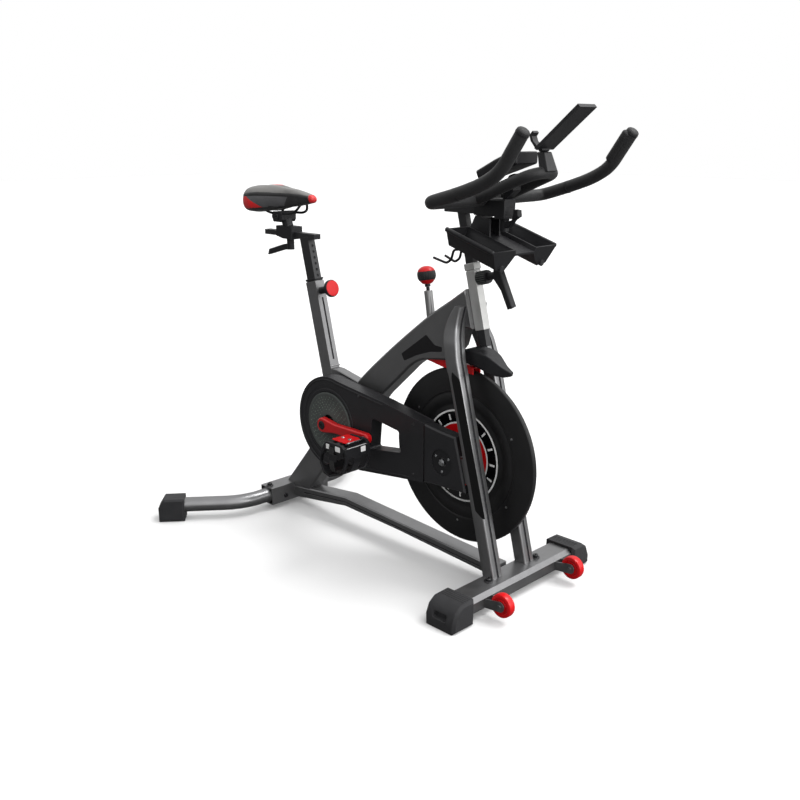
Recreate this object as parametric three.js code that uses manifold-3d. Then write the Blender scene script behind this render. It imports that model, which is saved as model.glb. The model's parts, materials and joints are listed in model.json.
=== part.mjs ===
// Indoor spin bike: an assembly of welded frame members, a belt-driven flywheel, two sliding seat
// posts, an adjustable handlebar and the small parts that lock, guard and cover them.
//
// Millimetres, +X forward, +Y to the rider's left, +Z up. While a piece is drawn, X is counted from a
// datum 60 mm ahead of the crank axle; at the end the bike moves so that its origin is on the floor,
// under the centre of its outline.

import * as THREE from 'three';
import { mergeVertices } from 'three/addons/utils/BufferGeometryUtils.js';
import Module from 'manifold-3d';

const wasm = await Module();
wasm.setup();

// ---------------------------------------------------------------- driving dimensions

const GAP = 0.3; // clearance between touching or sliding pieces
const LEAN = THREE.MathUtils.degToRad(14); // both post tubes lean back by this much

const BIKE_FRONT = 674.5; // front edge of the tablet shelf
const CRANK = { x: -60, z: 320 }; // crank axle
const CRANK_LENGTH = 170;
const HUB = { x: 358, z: 312 }; // flywheel axle
const FLYWHEEL_RADIUS = 224;
const FLYWHEEL_THICKNESS = 14;
const BADGE_RADIUS = 119;
const CRANK_PULLEY_RADIUS = 100;
const HUB_PULLEY_RADIUS = 28;
const BELT_PLANE = -56; // middle of the belt, on the right-hand side
const BELT_WIDTH = 14;
const BELT_THICKNESS = 2; // beyond the clearance over the pulleys

const BEAM_WIDTH = 50; // main beam and base rail, across the bike
const LEG_WIDTH = 36; // fork legs, across the bike
const LEG_INNER = 43.5; // inner face of a fork leg beside the flywheel
const FRONT_TRACK = 530; // over the front feet

const COVER = { outer: -80, split: -44, inner: -40, wall: 3 }; // belt cover, Y of its faces
const CAP_RADIUS = 86.5;

const SEAT_TUBE = { depth: 42, width: 31, wall: 2.2 };
const SEAT_POST = { depth: 34.4, width: 23.4 };
const HEAD_TUBE = { depth: 28, width: 22.5, wall: 1.2 };
const BAR_POST = { depth: 23, width: 17 };
const PIN_HEIGHT = 658; // height of the seat pin's hole on the tube's axis
const SEAT_PIVOT = { x: -173, z: 562 }; // a point on the seat tube's axis
const HEAD_PIVOT = { x: 384, z: 748 }; // a point on the head tube's axis

const GUIDE = { top: [233, 0, 711], foot: [264, 0, 517], outer: 10.5, inner: 5.5 }; // brake rod's guide
const ROD_RADIUS = 4.5;

const BAR_RADIUS = 14.2;
const BAR_HALF = 193;
const WHEEL = { x: 607, y: 137, z: 44, radius: 29, width: 20 };

// ---------------------------------------------------------------- colours

const PAINT = {
  charcoal: [0x4b4a4c, 0.38, 0.75],
  silver: [0xb4b4b3, 0.35, 0.7],
  black: [0x1d1d1e, 0.45, 0.1],
  satin: [0x2a2a2b, 0.55, 0.1],
  rubber: [0x242426, 0.8, 0],
  grip: [0x1a1a1b, 0.85, 0],
  red: [0xe01822, 0.4, 0.05],
  steel: [0x8f9092, 0.3, 1],
  grey: [0x6c6d6c, 0.6, 0],
  disc: [0x4a4e4c, 0.5, 0.1],
  cast: [0x161617, 0.5, 0.6],
};

const bike = new THREE.Group();

function add(name, geometry, paint) {
  const [color, roughness, metalness] = PAINT[paint];
  const mesh = new THREE.Mesh(geometry, new THREE.MeshStandardMaterial({ color, roughness, metalness }));
  mesh.name = name;
  bike.add(mesh);
  return mesh;
}

// ---------------------------------------------------------------- solids

// A closed geometry as a manifold solid, with its faces pointing out.
function solid(geometry) {
  const bare = new THREE.BufferGeometry();
  bare.setAttribute('position', geometry.getAttribute('position').clone());
  if (geometry.index) bare.setIndex(geometry.index.clone());
  const merged = mergeVertices(bare, 1e-3);
  const at = merged.getAttribute('position');
  const faces = [];
  let volume = 0;
  const a = new THREE.Vector3();
  const b = new THREE.Vector3();
  const c = new THREE.Vector3();
  for (let i = 0; i < merged.index.count; i += 3) {
    const [p, q, r] = [0, 1, 2].map((k) => merged.index.getX(i + k));
    if (p === q || q === r || r === p) continue;
    faces.push([p, q, r]);
    a.fromBufferAttribute(at, p);
    b.fromBufferAttribute(at, q);
    c.fromBufferAttribute(at, r);
    volume += a.dot(b.cross(c));
  }
  const triVerts = new Uint32Array(faces.flatMap(([p, q, r]) => (volume < 0 ? [p, r, q] : [p, q, r])));
  const vertProperties = new Float32Array(at.array);
  return new wasm.Manifold(new wasm.Mesh({ numProp: 3, vertProperties, triVerts }));
}

function geometryOf(body) {
  const mesh = body.getMesh();
  const geometry = new THREE.BufferGeometry();
  geometry.setAttribute('position', new THREE.BufferAttribute(new Float32Array(mesh.vertProperties), 3));
  geometry.setIndex(new THREE.BufferAttribute(new Uint32Array(mesh.triVerts), 1));
  return geometry;
}

const join = (...parts) => geometryOf(parts.map(solid).reduce((whole, part) => whole.add(part)));

const cut = (base, ...tools) =>
  geometryOf(tools.map(solid).reduce((left, tool) => left.subtract(tool), solid(base)));

const common = (a, b) => geometryOf(solid(a).intersect(solid(b)));

const mirror = (geometry) => {
  const copy = geometry.clone();
  copy.scale(1, -1, 1);
  return geometryOf(solid(copy));
};

function outline(points) {
  return new THREE.Shape(points.map(([u, v]) => new THREE.Vector2(u, v)));
}

function extrude(shape, depth, bevel, curveSegments = 12) {
  const options = { depth: depth - 2 * bevel, bevelEnabled: bevel > 0, curveSegments };
  if (bevel > 0) {
    Object.assign(options, {
      bevelThickness: bevel,
      bevelSize: bevel,
      bevelOffset: -bevel,
      bevelSegments: 1,
    });
  }
  const geometry = new THREE.ExtrudeGeometry(shape, options);
  geometry.translate(0, 0, bevel);
  return geometry;
}

// An outline in X and Z, as thick as the stretch from y0 to y1.
function plate(shape, y0, y1, bevel = 0, curveSegments = 12) {
  const form = Array.isArray(shape) ? outline(shape) : shape;
  const geometry = extrude(form, y1 - y0, bevel, curveSegments);
  geometry.rotateX(Math.PI / 2);
  geometry.translate(0, y1, 0);
  return geometry;
}

// An outline in X and Y, as high as the stretch from z0 to z1.
function slab(shape, z0, z1, bevel = 0, curveSegments = 12) {
  const form = Array.isArray(shape) ? outline(shape) : shape;
  const geometry = extrude(form, z1 - z0, bevel, curveSegments);
  geometry.translate(0, 0, z0);
  return geometry;
}

// An outline in Y and Z, as long as the stretch from x0 to x1.
function rib(shape, x0, x1, bevel = 0) {
  const form = Array.isArray(shape) ? outline(shape) : shape;
  const geometry = extrude(form, x1 - x0, bevel);
  geometry.applyMatrix4(new THREE.Matrix4().set(0, 0, 1, x0, 1, 0, 0, 0, 0, 1, 0, 0, 0, 0, 0, 1));
  return geometry;
}

function block(x0, x1, y0, y1, z0, z1, bevel = 0) {
  return slab([[x0, y0], [x1, y0], [x1, y1], [x0, y1]], z0, z1, bevel);
}

// A round bar between two points.
function rod(from, to, radius, segments = 24) {
  const a = new THREE.Vector3(...from);
  const b = new THREE.Vector3(...to);
  const geometry = new THREE.CylinderGeometry(radius, radius, a.distanceTo(b), segments);
  geometry.applyQuaternion(
    new THREE.Quaternion().setFromUnitVectors(new THREE.Vector3(0, 1, 0), b.clone().sub(a).normalize()),
  );
  const middle = a.clone().add(b).multiplyScalar(0.5);
  geometry.translate(middle.x, middle.y, middle.z);
  return geometry;
}

// A disc or ring on an axle across the bike.
function wheel(centre, inner, outer, y0, y1, segments = 16) {
  const shape = new THREE.Shape();
  shape.absarc(centre.x, centre.z, outer, 0, Math.PI * 2);
  if (inner > 0) {
    const hole = new THREE.Path();
    hole.absarc(centre.x, centre.z, inner, 0, Math.PI * 2);
    shape.holes.push(hole);
  }
  return plate(shape, y0, y1, 0, segments);
}

// A turned piece on an axle across the bike; the profile lists [radius, y].
function turned(centre, profile, segments = 32) {
  const geometry = new THREE.LatheGeometry(profile.map(([r, y]) => new THREE.Vector2(r, y)), segments);
  geometry.translate(centre.x, 0, centre.z);
  return geometryOf(solid(geometry));
}

// A path of straight stretches with rounded corners.
function bentPath(points, radius) {
  const at = points.map((p) => new THREE.Vector3(...p));
  const path = new THREE.CurvePath();
  let start = at[0];
  for (let i = 1; i < at.length - 1; i += 1) {
    const back = at[i - 1].clone().sub(at[i]);
    const ahead = at[i + 1].clone().sub(at[i]);
    const reach = Math.min(radius, back.length() / 2.1, ahead.length() / 2.1);
    const enter = at[i].clone().add(back.setLength(reach));
    const leave = at[i].clone().add(ahead.setLength(reach));
    path.add(new THREE.LineCurve3(start, enter));
    path.add(new THREE.QuadraticBezierCurve3(enter, at[i], leave));
    start = leave;
  }
  path.add(new THREE.LineCurve3(start, at[at.length - 1]));
  return path;
}

// A round tube along a bent path; steps is the number of stations.
function bent(points, radius, corner, steps = 24, sides = 12) {
  const shape = new THREE.Shape();
  shape.absarc(0, 0, radius, 0, Math.PI * 2);
  return new THREE.ExtrudeGeometry(shape, {
    steps,
    extrudePath: bentPath(points, corner),
    curveSegments: sides,
    bevelEnabled: false,
  });
}

// A skin over a list of rings with equally many points, closed by a fan at each end.
function loft(rings) {
  const count = rings[0].length;
  const positions = rings.flat();
  const index = [];
  for (let i = 0; i + 1 < rings.length; i += 1) {
    for (let j = 0; j < count; j += 1) {
      const k = (j + 1) % count;
      const a = i * count + j;
      const b = i * count + k;
      index.push(a, b, b + count, a, b + count, a + count);
    }
  }
  [0, rings.length - 1].forEach((ring, end) => {
    const first = ring * count;
    for (let j = 1; j + 1 < count; j += 1) {
      index.push(...(end ? [first, first + j, first + j + 1] : [first, first + j + 1, first + j]));
    }
  });
  const geometry = new THREE.BufferGeometry();
  geometry.setAttribute('position', new THREE.BufferAttribute(new Float32Array(positions.flat()), 3));
  geometry.setIndex(index);
  return geometryOf(solid(geometry));
}

// A rectangular bar along a leaning post's axis, between two heights above the floor.
function leaning(pivot, z0, z1, depth, width, bevel = 0, ahead = 0) {
  const [d, w] = [depth / 2, width / 2];
  const shape = outline([[-d, -w], [d, -w], [d, w], [-d, w]]);
  const stretch = 1 / Math.cos(LEAN);
  const geometry = extrude(shape, (z1 - z0) * stretch, bevel);
  geometry.translate(ahead, 0, (z0 - pivot.z) * stretch);
  geometry.rotateY(-LEAN);
  geometry.translate(pivot.x, 0, pivot.z);
  return geometry;
}

// A point at a height on a leaning post's axis, a distance ahead of it.
function onPost(pivot, z, ahead = 0, y = 0) {
  return [pivot.x - (z - pivot.z) * Math.tan(LEAN) + ahead * Math.cos(LEAN), y, z + ahead * Math.sin(LEAN)];
}

// ---------------------------------------------------------------- welded frame

// Side outline of the curved main beam, from the head down to the rear strut and back.
const beamShape = new THREE.Shape();
beamShape.moveTo(374, 733);
beamShape.lineTo(329, 702);
beamShape.splineThru(
  [[264, 660], [196, 609], [123, 551], [47, 487], [-1, 443]].map((p) => new THREE.Vector2(...p)),
);
beamShape.lineTo(-225, 191);
beamShape.lineTo(-344, 50);
beamShape.lineTo(-236, 50);
beamShape.lineTo(-136, 170);
beamShape.lineTo(92, 421);
beamShape.splineThru(
  [[160, 483], [200, 519], [235, 538], [275, 546], [318, 552]].map((p) => new THREE.Vector2(...p)),
);
beamShape.lineTo(352, 590);
beamShape.lineTo(368, 640);
beamShape.lineTo(420, 640);

const SOCKET = { x0: -350, x1: -296, z0: 16, z1: 68, half: 108, wall: 3 };
const RAIL_TOP = [[-345, 51], [-64, 85], [441, 61], [487.5, 59.5]];
const railOutline = [...RAIL_TOP, [487.5, 31], [442, 34], [158, 50], [-65, 57], [-271, 26], [-345, 21]];
// The beam's strut stands on the rail's rear slope, so this wedge trims it there.
const railSlope = railOutline.slice(0, 2).map(([x, z]) => [x, z + GAP]);
const railTopTool = plate([[-420, 20], ...railSlope, [0, 20]], -40, 40);

const seatBore = leaning(
  SEAT_PIVOT, 470, 720,
  SEAT_TUBE.depth - 2 * SEAT_TUBE.wall, SEAT_TUBE.width - 2 * SEAT_TUBE.wall,
);
const seatTube = leaning(SEAT_PIVOT, 322, 688, SEAT_TUBE.depth, SEAT_TUBE.width, 3);
const seatGusset = plate([[-125, 452], [-100, 452], [12, 428], [12, 398], [-125, 398]], -15, 15, 2);
const AHEAD_OF_BEAM = 200; // depth of the space kept free ahead of the beam
const headClear = leaning(
  HEAD_PIVOT, 560, 860, AHEAD_OF_BEAM, 80, 0,
  AHEAD_OF_BEAM / 2 - HEAD_TUBE.depth / 2 - GAP,
);
const crankShell = wheel(CRANK, 0, 27, -36, 36, 20);
const crankBore = wheel(CRANK, 0, 18, -60, 60, 20);
const carrierRoom = plate([[230, 520], [342, 520], [342, 562], [230, 556]], -17, 17);

add(
  'main_frame',
  cut(
    join(plate(beamShape, -BEAM_WIDTH / 2, BEAM_WIDTH / 2, 5, 3), seatTube, seatGusset, crankShell),
    crankBore,
    seatBore,
    rod(onPost(SEAT_PIVOT, PIN_HEIGHT, 10), onPost(SEAT_PIVOT, PIN_HEIGHT, 40), 4.5 + GAP, 16),
    headClear,
    carrierRoom,
    railTopTool,
    block(
      SOCKET.x0 - GAP, SOCKET.x1 + GAP, -SOCKET.half, SOCKET.half,
      SOCKET.z0 - GAP, SOCKET.z1 + GAP,
    ),
    rod([GUIDE.top[0], 0, GUIDE.top[2]], [GUIDE.foot[0], 0, GUIDE.foot[2]], GUIDE.outer + GAP, 20),
  ),
  'charcoal',
);

add(
  'head_tube',
  cut(
    leaning(HEAD_PIVOT, 637, 776, HEAD_TUBE.depth, HEAD_TUBE.width, 2),
    leaning(
      HEAD_PIVOT, 600, 800,
      HEAD_TUBE.depth - 2 * HEAD_TUBE.wall, HEAD_TUBE.width - 2 * HEAD_TUBE.wall,
    ),
  ),
  'silver',
);

// Side outline of a fork leg: straight from the front foot, then bent forward to the head.
const legOutline = [
  [530.5, 58 + GAP], [407.5, 548], [398, 575], [390, 606], [378, 640], [379, 672], [383, 697],
  [362, 694], [350, 670], [344, 648], [342.5, 628], [351, 603], [365, 557], [380.5, 510], [494.5, 58 + GAP],
];
// How far the legs have closed in on the beam: [height, distance].
const LEG_CLOSING = [[548, 0], [575, 2], [606, 6.5], [640, 19], [672, 25.5], [706, 31]];

function legInset(z) {
  const next = LEG_CLOSING.findIndex(([height]) => height > z);
  if (next === 0) return 0;
  const [z0, d0] = LEG_CLOSING[next - 1];
  const [z1, d1] = LEG_CLOSING[next];
  return THREE.MathUtils.mapLinear(z, z0, z1, d0, d1);
}

function legShape(clearance) {
  const geometry = plate(legOutline, LEG_INNER - clearance, LEG_INNER + LEG_WIDTH + clearance, 4);
  const at = geometry.getAttribute('position');
  for (let i = 0; i < at.count; i += 1) {
    at.setY(i, at.getY(i) - legInset(at.getZ(i)));
  }
  return geometry;
}
const besideBeam = block(
  280, 460, -BEAM_WIDTH / 2 - GAP, BEAM_WIDTH / 2 + GAP, 560, 760,
);

// The dropout is the plate behind each leg that holds the flywheel axle.
function dropout(y0, y1) {
  const shape = [[HUB.x - 16, HUB.z - 16], [HUB.x + 12, HUB.z - 20], [445, HUB.z - 42], [432, HUB.z + 22],
    [HUB.x + 12, HUB.z + 20], [HUB.x - 16, HUB.z + 16]];
  return cut(plate(shape, y0, y1), rod([HUB.x, y0 - 5, HUB.z], [HUB.x, y1 + 5, HUB.z], 6.3, 20));
}
const DROPOUT = { right: [68, 73], left: [46, 51] };

const leg = cut(legShape(0), besideBeam);
const legLeft = join(leg, dropout(...DROPOUT.left));
const legRight = mirror(join(leg, dropout(...DROPOUT.right)));
add('fork_leg_left', legLeft, 'charcoal');
add('fork_leg_right', legRight, 'charcoal');

// ---------------------------------------------------------------- base

// The hollow of the cross socket, from -reach to reach.
const socketRoom = (reach) =>
  block(
    SOCKET.x0 + SOCKET.wall, SOCKET.x1 - SOCKET.wall, -reach, reach,
    SOCKET.z0 + SOCKET.wall, SOCKET.z1 - SOCKET.wall,
  );
const socket = cut(
  block(SOCKET.x0, SOCKET.x1, -SOCKET.half, SOCKET.half, SOCKET.z0, SOCKET.z1),
  socketRoom(SOCKET.half + 5),
);
add(
  'base_rail',
  cut(
    join(plate(railOutline, -BEAM_WIDTH / 2, BEAM_WIDTH / 2, 3), socket),
    socketRoom(60),
  ),
  'charcoal',
);

// Bent rear leg: from the socket outward, then diagonally back to its foot.
const REAR_LEG_RADIUS = 21;
const rearLegPath = [[-323, 70, 42], [-323, 190, 42], [-457, 355, 42]];
const REAR_FOOT = { x: -452, y: 349, turn: Math.atan2(165, -134) };
const rearLeg = join(bent(rearLegPath, REAR_LEG_RADIUS, 90, 14, 5));

// A chunky rubber foot: its long side along u, a pocket for the tube at its inner end.
const FOOT = { width: 60, height: 68 };
function rearFoot() {
  const side = [[-34, 0], [40, 0], [40, 42], [24, FOOT.height], [-34, FOOT.height]];
  const body = plate(side, -FOOT.width / 2, FOOT.width / 2, 5);
  body.rotateZ(REAR_FOOT.turn);
  body.translate(REAR_FOOT.x, REAR_FOOT.y, 0);
  return cut(body, bent(rearLegPath, REAR_LEG_RADIUS + 2 * GAP, 90, 14, 5));
}
add('rear_leg_left', rearLeg, 'charcoal');
add('rear_leg_right', mirror(rearLeg), 'charcoal');
add('foot_cap_rear_left', rearFoot(), 'rubber');
add('foot_cap_rear_right', mirror(rearFoot()), 'rubber');

const BEARER = { x0: 488, x1: 562, z0: 15, z1: 58, half: 238, wall: 3, chamfer: 10 };
function bearerShape(grow) {
  const { x0, x1, z0, z1, chamfer: c } = BEARER;
  const [left, right, low, top] = [x0 - grow, x1 + grow, z0 - grow, z1 + grow];
  return [
    [left + c, low], [right - c, low], [right, low + c], [right, top - c],
    [right - c, top], [left + c, top], [left, top - c], [left, low + c],
  ];
}
const EAR = { thick: 3, reach: WHEEL.width / 2 + 1 };
function wheelEars(side) {
  const y = side * WHEEL.y;
  const shape = new THREE.Shape();
  shape.moveTo(BEARER.x1 - 2, 26);
  shape.lineTo(WHEEL.x - 4, WHEEL.z - 13);
  shape.absarc(WHEEL.x, WHEEL.z, 13, -Math.PI / 2, Math.PI / 2);
  shape.lineTo(BEARER.x1 - 2, 48);
  const inner = plate(shape, y - EAR.reach - EAR.thick, y - EAR.reach, 0, 5);
  const outer = plate(shape, y + EAR.reach, y + EAR.reach + EAR.thick, 0, 5);
  const reach = EAR.reach + EAR.thick + 3;
  return [inner, outer, rod([WHEEL.x, y - reach, WHEEL.z], [WHEEL.x, y + reach, WHEEL.z], 5, 16)];
}
add(
  'front_stabilizer',
  cut(
    join(plate(bearerShape(0), -BEARER.half, BEARER.half), ...wheelEars(1), ...wheelEars(-1)),
    plate(bearerShape(-BEARER.wall), -BEARER.half - 5, BEARER.half + 5),
  ),
  'charcoal',
);
const FRONT_CAP = { x0: 480, x1: 571, inner: 192, height: 65 };
function frontFoot() {
  const end = FRONT_TRACK / 2;
  const body = rib(
    [
      [FRONT_CAP.inner, 0], [end, 0], [end, 26], [end - 10, 50], [end - 30, FRONT_CAP.height - 1],
      [FRONT_CAP.inner, FRONT_CAP.height],
    ],
    FRONT_CAP.x0, FRONT_CAP.x1, 6.5,
  );
  return cut(body, plate(bearerShape(GAP), 150, BEARER.half + GAP));
}
add('foot_cap_front_left', frontFoot(), 'rubber');
add('foot_cap_front_right', mirror(frontFoot()), 'rubber');

// Socket-head bolts with a washer, standing on a tube's top face.
function bolt(x, y, z) {
  return cut(
    join(rod([x, y, z + GAP], [x, y, z + 2.2], 11, 12), rod([x, y, z + 1], [x, y, z + 9], 7, 12)),
    rod([x, y, z + 5], [x, y, z + 12], 3, 6),
  );
}
add('bolt_front_left', bolt(525, 92, BEARER.z1), 'black');
add('bolt_front_right', bolt(525, -92, BEARER.z1), 'black');
add('bolt_rear_left', bolt(-323, 96, SOCKET.z1), 'black');
add('bolt_rear_right', bolt(-323, -96, SOCKET.z1), 'black');

function transportWheel(side) {
  const y = side * WHEEL.y;
  const w = WHEEL.width / 2;
  const r = WHEEL.radius;
  return turned(
    WHEEL,
    [
      [5.6, y - w + 1], [21, y - w + 1], [22, y - w], [r - 4, y - w], [r, y - w + 4], [r, y + w - 4],
      [r - 4, y + w], [22, y + w], [21, y + w - 1], [5.6, y + w - 1], [5.6, y - w + 1],
    ],
    16,
  );
}
add('transport_wheel_left', transportWheel(1), 'red');
add('transport_wheel_right', transportWheel(-1), 'red');

// ---------------------------------------------------------------- flywheel and drive

const half = FLYWHEEL_THICKNESS / 2;
const HUB_FLANGE = 30;
add(
  'flywheel',
  turned(HUB, [
    [18, -half], [FLYWHEEL_RADIUS - 2, -half], [FLYWHEEL_RADIUS, -half + 2], [FLYWHEEL_RADIUS, half - 2],
    [FLYWHEEL_RADIUS - 2, half], [18, half], [18, -half],
  ], 48),
  'cast',
);
function badge(side) {
  const near = side * (half + GAP);
  const far = side * (half + 2.2);
  const bore = HUB_FLANGE + 1;
  const profile = [[bore, near], [BADGE_RADIUS, near], [BADGE_RADIUS - 1.2, far], [bore, far], [bore, near]];
  return turned(HUB, profile, 30);
}
add('flywheel_badge_left', badge(1), 'black');
add('flywheel_badge_right', badge(-1), 'black');
const beltEdge = BELT_WIDTH / 2;
function pulley(centre, bore, radius, rim) {
  const [a, b] = [BELT_PLANE - beltEdge, BELT_PLANE + beltEdge];
  return turned(centre, [
    [bore, a - 1.6], [radius + rim, a - 1.6], [radius + rim, a - 0.4], [radius, a - 0.4], [radius, b + 0.4],
    [radius + rim, b + 0.4], [radius + rim, b + 1.6], [bore, b + 1.6], [bore, a - 1.6],
  ], radius > 50 ? 28 : 12);
}
add(
  'flywheel_hub',
  join(
    turned(HUB, [
      [6.5, -64], [14, -64], [14, -half - 6],
      [HUB_FLANGE, -half - 6], [HUB_FLANGE, -half - GAP], [17.5, -half - GAP],
      [17.5, half + GAP], [19, half + GAP], [19, half + 6], [14, half + 6], [14, 44], [6.5, 44], [6.5, -64],
    ], 12),
    pulley(HUB, 12, HUB_PULLEY_RADIUS, 3),
  ),
  'steel',
);

const AXLE = { radius: 6, nut: 9.5 };
const nut = (y0, y1) => rod([HUB.x, y0, HUB.z], [HUB.x, y1, HUB.z], AXLE.nut, 6);
add(
  'flywheel_axle',
  join(
    rod([HUB.x, -84, HUB.z], [HUB.x, 62, HUB.z], AXLE.radius, 20),
    nut(-80, -DROPOUT.right[1] - GAP),
    nut(DROPOUT.left[1] + GAP, 58),
  ),
  'steel',
);

add('drive_pulley', pulley(CRANK, 12.6, CRANK_PULLEY_RADIUS, 2), 'black');
// Open belt over both pulleys: the straight runs touch each rim where the common tangents do.
function beltShape(grow) {
  const reach = Math.hypot(HUB.x - CRANK.x, HUB.z - CRANK.z);
  const slope = Math.atan2(HUB.z - CRANK.z, HUB.x - CRANK.x);
  const spread = Math.acos((CRANK_PULLEY_RADIUS - HUB_PULLEY_RADIUS) / reach);
  const shape = new THREE.Shape();
  shape.absarc(CRANK.x, CRANK.z, CRANK_PULLEY_RADIUS + grow, slope + spread, slope - spread + 2 * Math.PI);
  shape.absarc(HUB.x, HUB.z, HUB_PULLEY_RADIUS + grow, slope - spread, slope + spread);
  return shape;
}
add(
  'drive_belt',
  cut(
    plate(beltShape(GAP + BELT_THICKNESS), BELT_PLANE - beltEdge, BELT_PLANE + beltEdge, 0, 12),
    plate(beltShape(GAP + 0.4), BELT_PLANE - beltEdge - 2, BELT_PLANE + beltEdge + 2, 0, 12),
  ),
  'rubber',
);

const SPINDLE = 12;
add(
  'crank_spindle',
  join(
    rod([CRANK.x, -107, CRANK.z], [CRANK.x, 107, CRANK.z], SPINDLE, 20),
    rod([CRANK.x, -33, CRANK.z], [CRANK.x, 33, CRANK.z], 16.5, 20),
  ),
  'steel',
);
const PEDAL = { axle: 6, gap: 1.5, inner: 122, outer: 212, length: 74, height: 24 };
const ARM = { inner: 90, outer: 108 };
// A crank arm lies along +X or -X from its boss; it tapers to the pedal's eye.
function crankArm(toward, side) {
  const tip = CRANK.x + toward * CRANK_LENGTH;
  const shape = new THREE.Shape();
  shape.absarc(CRANK.x, CRANK.z, 21, Math.PI / 2.3, -Math.PI / 2.3 + 2 * Math.PI);
  shape.lineTo(CRANK.x + CRANK_LENGTH * 0.3, CRANK.z - 13);
  shape.absarc(CRANK.x + CRANK_LENGTH, CRANK.z, 14, -Math.PI / 2, Math.PI / 2);
  shape.lineTo(CRANK.x + CRANK_LENGTH * 0.3, CRANK.z + 13);
  const form = plate(shape, ARM.inner, ARM.outer, 3, 4);
  if (toward < 0) {
    form.translate(-CRANK.x, 0, 0);
    form.scale(-1, 1, 1);
    form.translate(CRANK.x, 0, 0);
  }
  const whole = cut(
    form,
    rod([CRANK.x, 80, CRANK.z], [CRANK.x, 120, CRANK.z], SPINDLE + GAP, 16),
    rod([tip, 80, CRANK.z], [tip, 120, CRANK.z], PEDAL.axle + GAP, 12),
  );
  return side > 0 ? whole : mirror(whole);
}
add('crank_arm_right', crankArm(1, -1), 'red');
add('crank_arm_left', crankArm(-1, 1), 'red');

function pedalAxle(toward, side) {
  const x = CRANK.x + toward * CRANK_LENGTH;
  const at = (y) => [x, side * y, CRANK.z];
  const pin = rod(at(ARM.inner + 1), at(PEDAL.outer - 12), PEDAL.axle, 12);
  const flats = rod(at(ARM.outer + GAP), at(114), 9, 6);
  return join(pin, flats);
}
add('pedal_axle_right', pedalAxle(1, -1), 'steel');
add('pedal_axle_left', pedalAxle(-1, 1), 'steel');

// Pedal body: a centre barrel between two end plates, with the clip plate on its upper side.
function pedalBody(toward) {
  const x = CRANK.x + toward * CRANK_LENGTH;
  const z = CRANK.z;
  const [l, h] = [PEDAL.length / 2, PEDAL.height / 2];
  const side = [[x - l, z - 5], [x - l + 6, z - h], [x + l - 6, z - h], [x + l, z - 5], [x + l, z + 5],
    [x + l - 8, z + h], [x - l + 8, z + h], [x - l, z + 5]];
  const ends = [plate(side, PEDAL.inner, PEDAL.inner + 9), plate(side, PEDAL.outer - 9, PEDAL.outer)];
  const rails = [
    block(x - l, x - l + 10, PEDAL.inner, PEDAL.outer, z - 6, z + 6),
    block(x + l - 10, x + l, PEDAL.inner, PEDAL.outer, z - 6, z + 6),
  ];
  const barrel = rod([x, PEDAL.inner, z], [x, PEDAL.outer, z], 12, 12);
  const clip = block(x - 26, x + 26, 150, 186, z - 9, z + 14, 1);
  return cut(
    join(...ends, ...rails, barrel, clip),
    rod([x, PEDAL.inner - 5, z], [x, PEDAL.outer - 10, z], PEDAL.axle + 0.6, 12),
  );
}
// Toe cage: side loops that hang under the pedal, a floor across them and a strap.
function toeCage(toward) {
  const x = CRANK.x + toward * CRANK_LENGTH;
  const z = CRANK.z;
  const l = PEDAL.length / 2;
  const [front, back] = [x + l, x - l];
  const outside = [
    [front + GAP, z + 4], [front + 3, z + 4], [front + 6, z - 30], [front - 12, z - 66],
    [back + 14, z - 84], [back - 8, z - 78], [back - 22, z - 52], [back - 18, z - 20], [back - 3, z + 4],
  ];
  const inside = [
    [back - GAP, z + 4], [back - GAP, z - 14], [back - 14, z - 30], [back - 18, z - 50], [back - 5, z - 73],
    [back + 14, z - 79], [front - 14, z - 62], [front + 2, z - 29], [front + GAP, z - 8],
  ];
  const band = plate([...outside, ...inside], PEDAL.inner + 2, PEDAL.outer - 2);
  const windows = [
    block(x - 90, x + 90, PEDAL.inner + 12, 155, z - 60, z - 22, 0),
    block(x - 90, x + 90, 180, PEDAL.outer - 12, z - 60, z - 22, 0),
  ];
  return cut(band, ...windows);
}
const PEDALS = { right: [1, -1], left: [-1, 1] };
for (const [hand, [toward, side]] of Object.entries(PEDALS)) {
  const place = side > 0 ? (g) => g : mirror;
  add(`pedal_body_${hand}`, place(pedalBody(toward)), 'black');
  add(`toe_cage_${hand}`, place(toeCage(toward)), 'satin');
}

// ---------------------------------------------------------------- belt covers

const COVER_RADIUS = 129.5;
// Outline of both cover halves; grow moves it outward, for the pocket inside it.
function coverOutline(grow) {
  const shape = new THREE.Shape();
  const start = Math.PI * 0.42;
  shape.moveTo(296, 398 + grow);
  shape.lineTo(150, 423 + grow);
  shape.lineTo(27, 438 + grow);
  shape.absarc(CRANK.x, CRANK.z, COVER_RADIUS + grow, start, 2 * Math.PI - 0.9);
  shape.lineTo(62, 214 - grow);
  shape.lineTo(243, 237 - grow);
  shape.lineTo(296 - grow, 243 - grow);
  shape.lineTo(296 - grow, 398 + grow);
  return shape;
}
function coverWindow(grow) {
  return [
    [111 - grow, 372 + grow], [211 + grow, 358 + grow],
    [218 + grow, 302 - grow], [102 - grow, 285 - grow],
  ];
}
const inY = [COVER.outer, COVER.split];
const capSeat = wheel(CRANK, 0, CAP_RADIUS + 3 * GAP, COVER.outer - 5, COVER.outer + COVER.wall + 5, 16);
add(
  'belt_cover_outer',
  cut(
    plate(coverOutline(0), ...inY, 4, 12),
    cut(
      plate(coverOutline(-COVER.wall), COVER.outer + COVER.wall, COVER.split + 5, 0, 12),
      plate(coverWindow(COVER.wall), -100, 0),
    ),
    plate(coverWindow(0), -100, 0),
    capSeat,
  ),
  'black',
);
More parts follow.
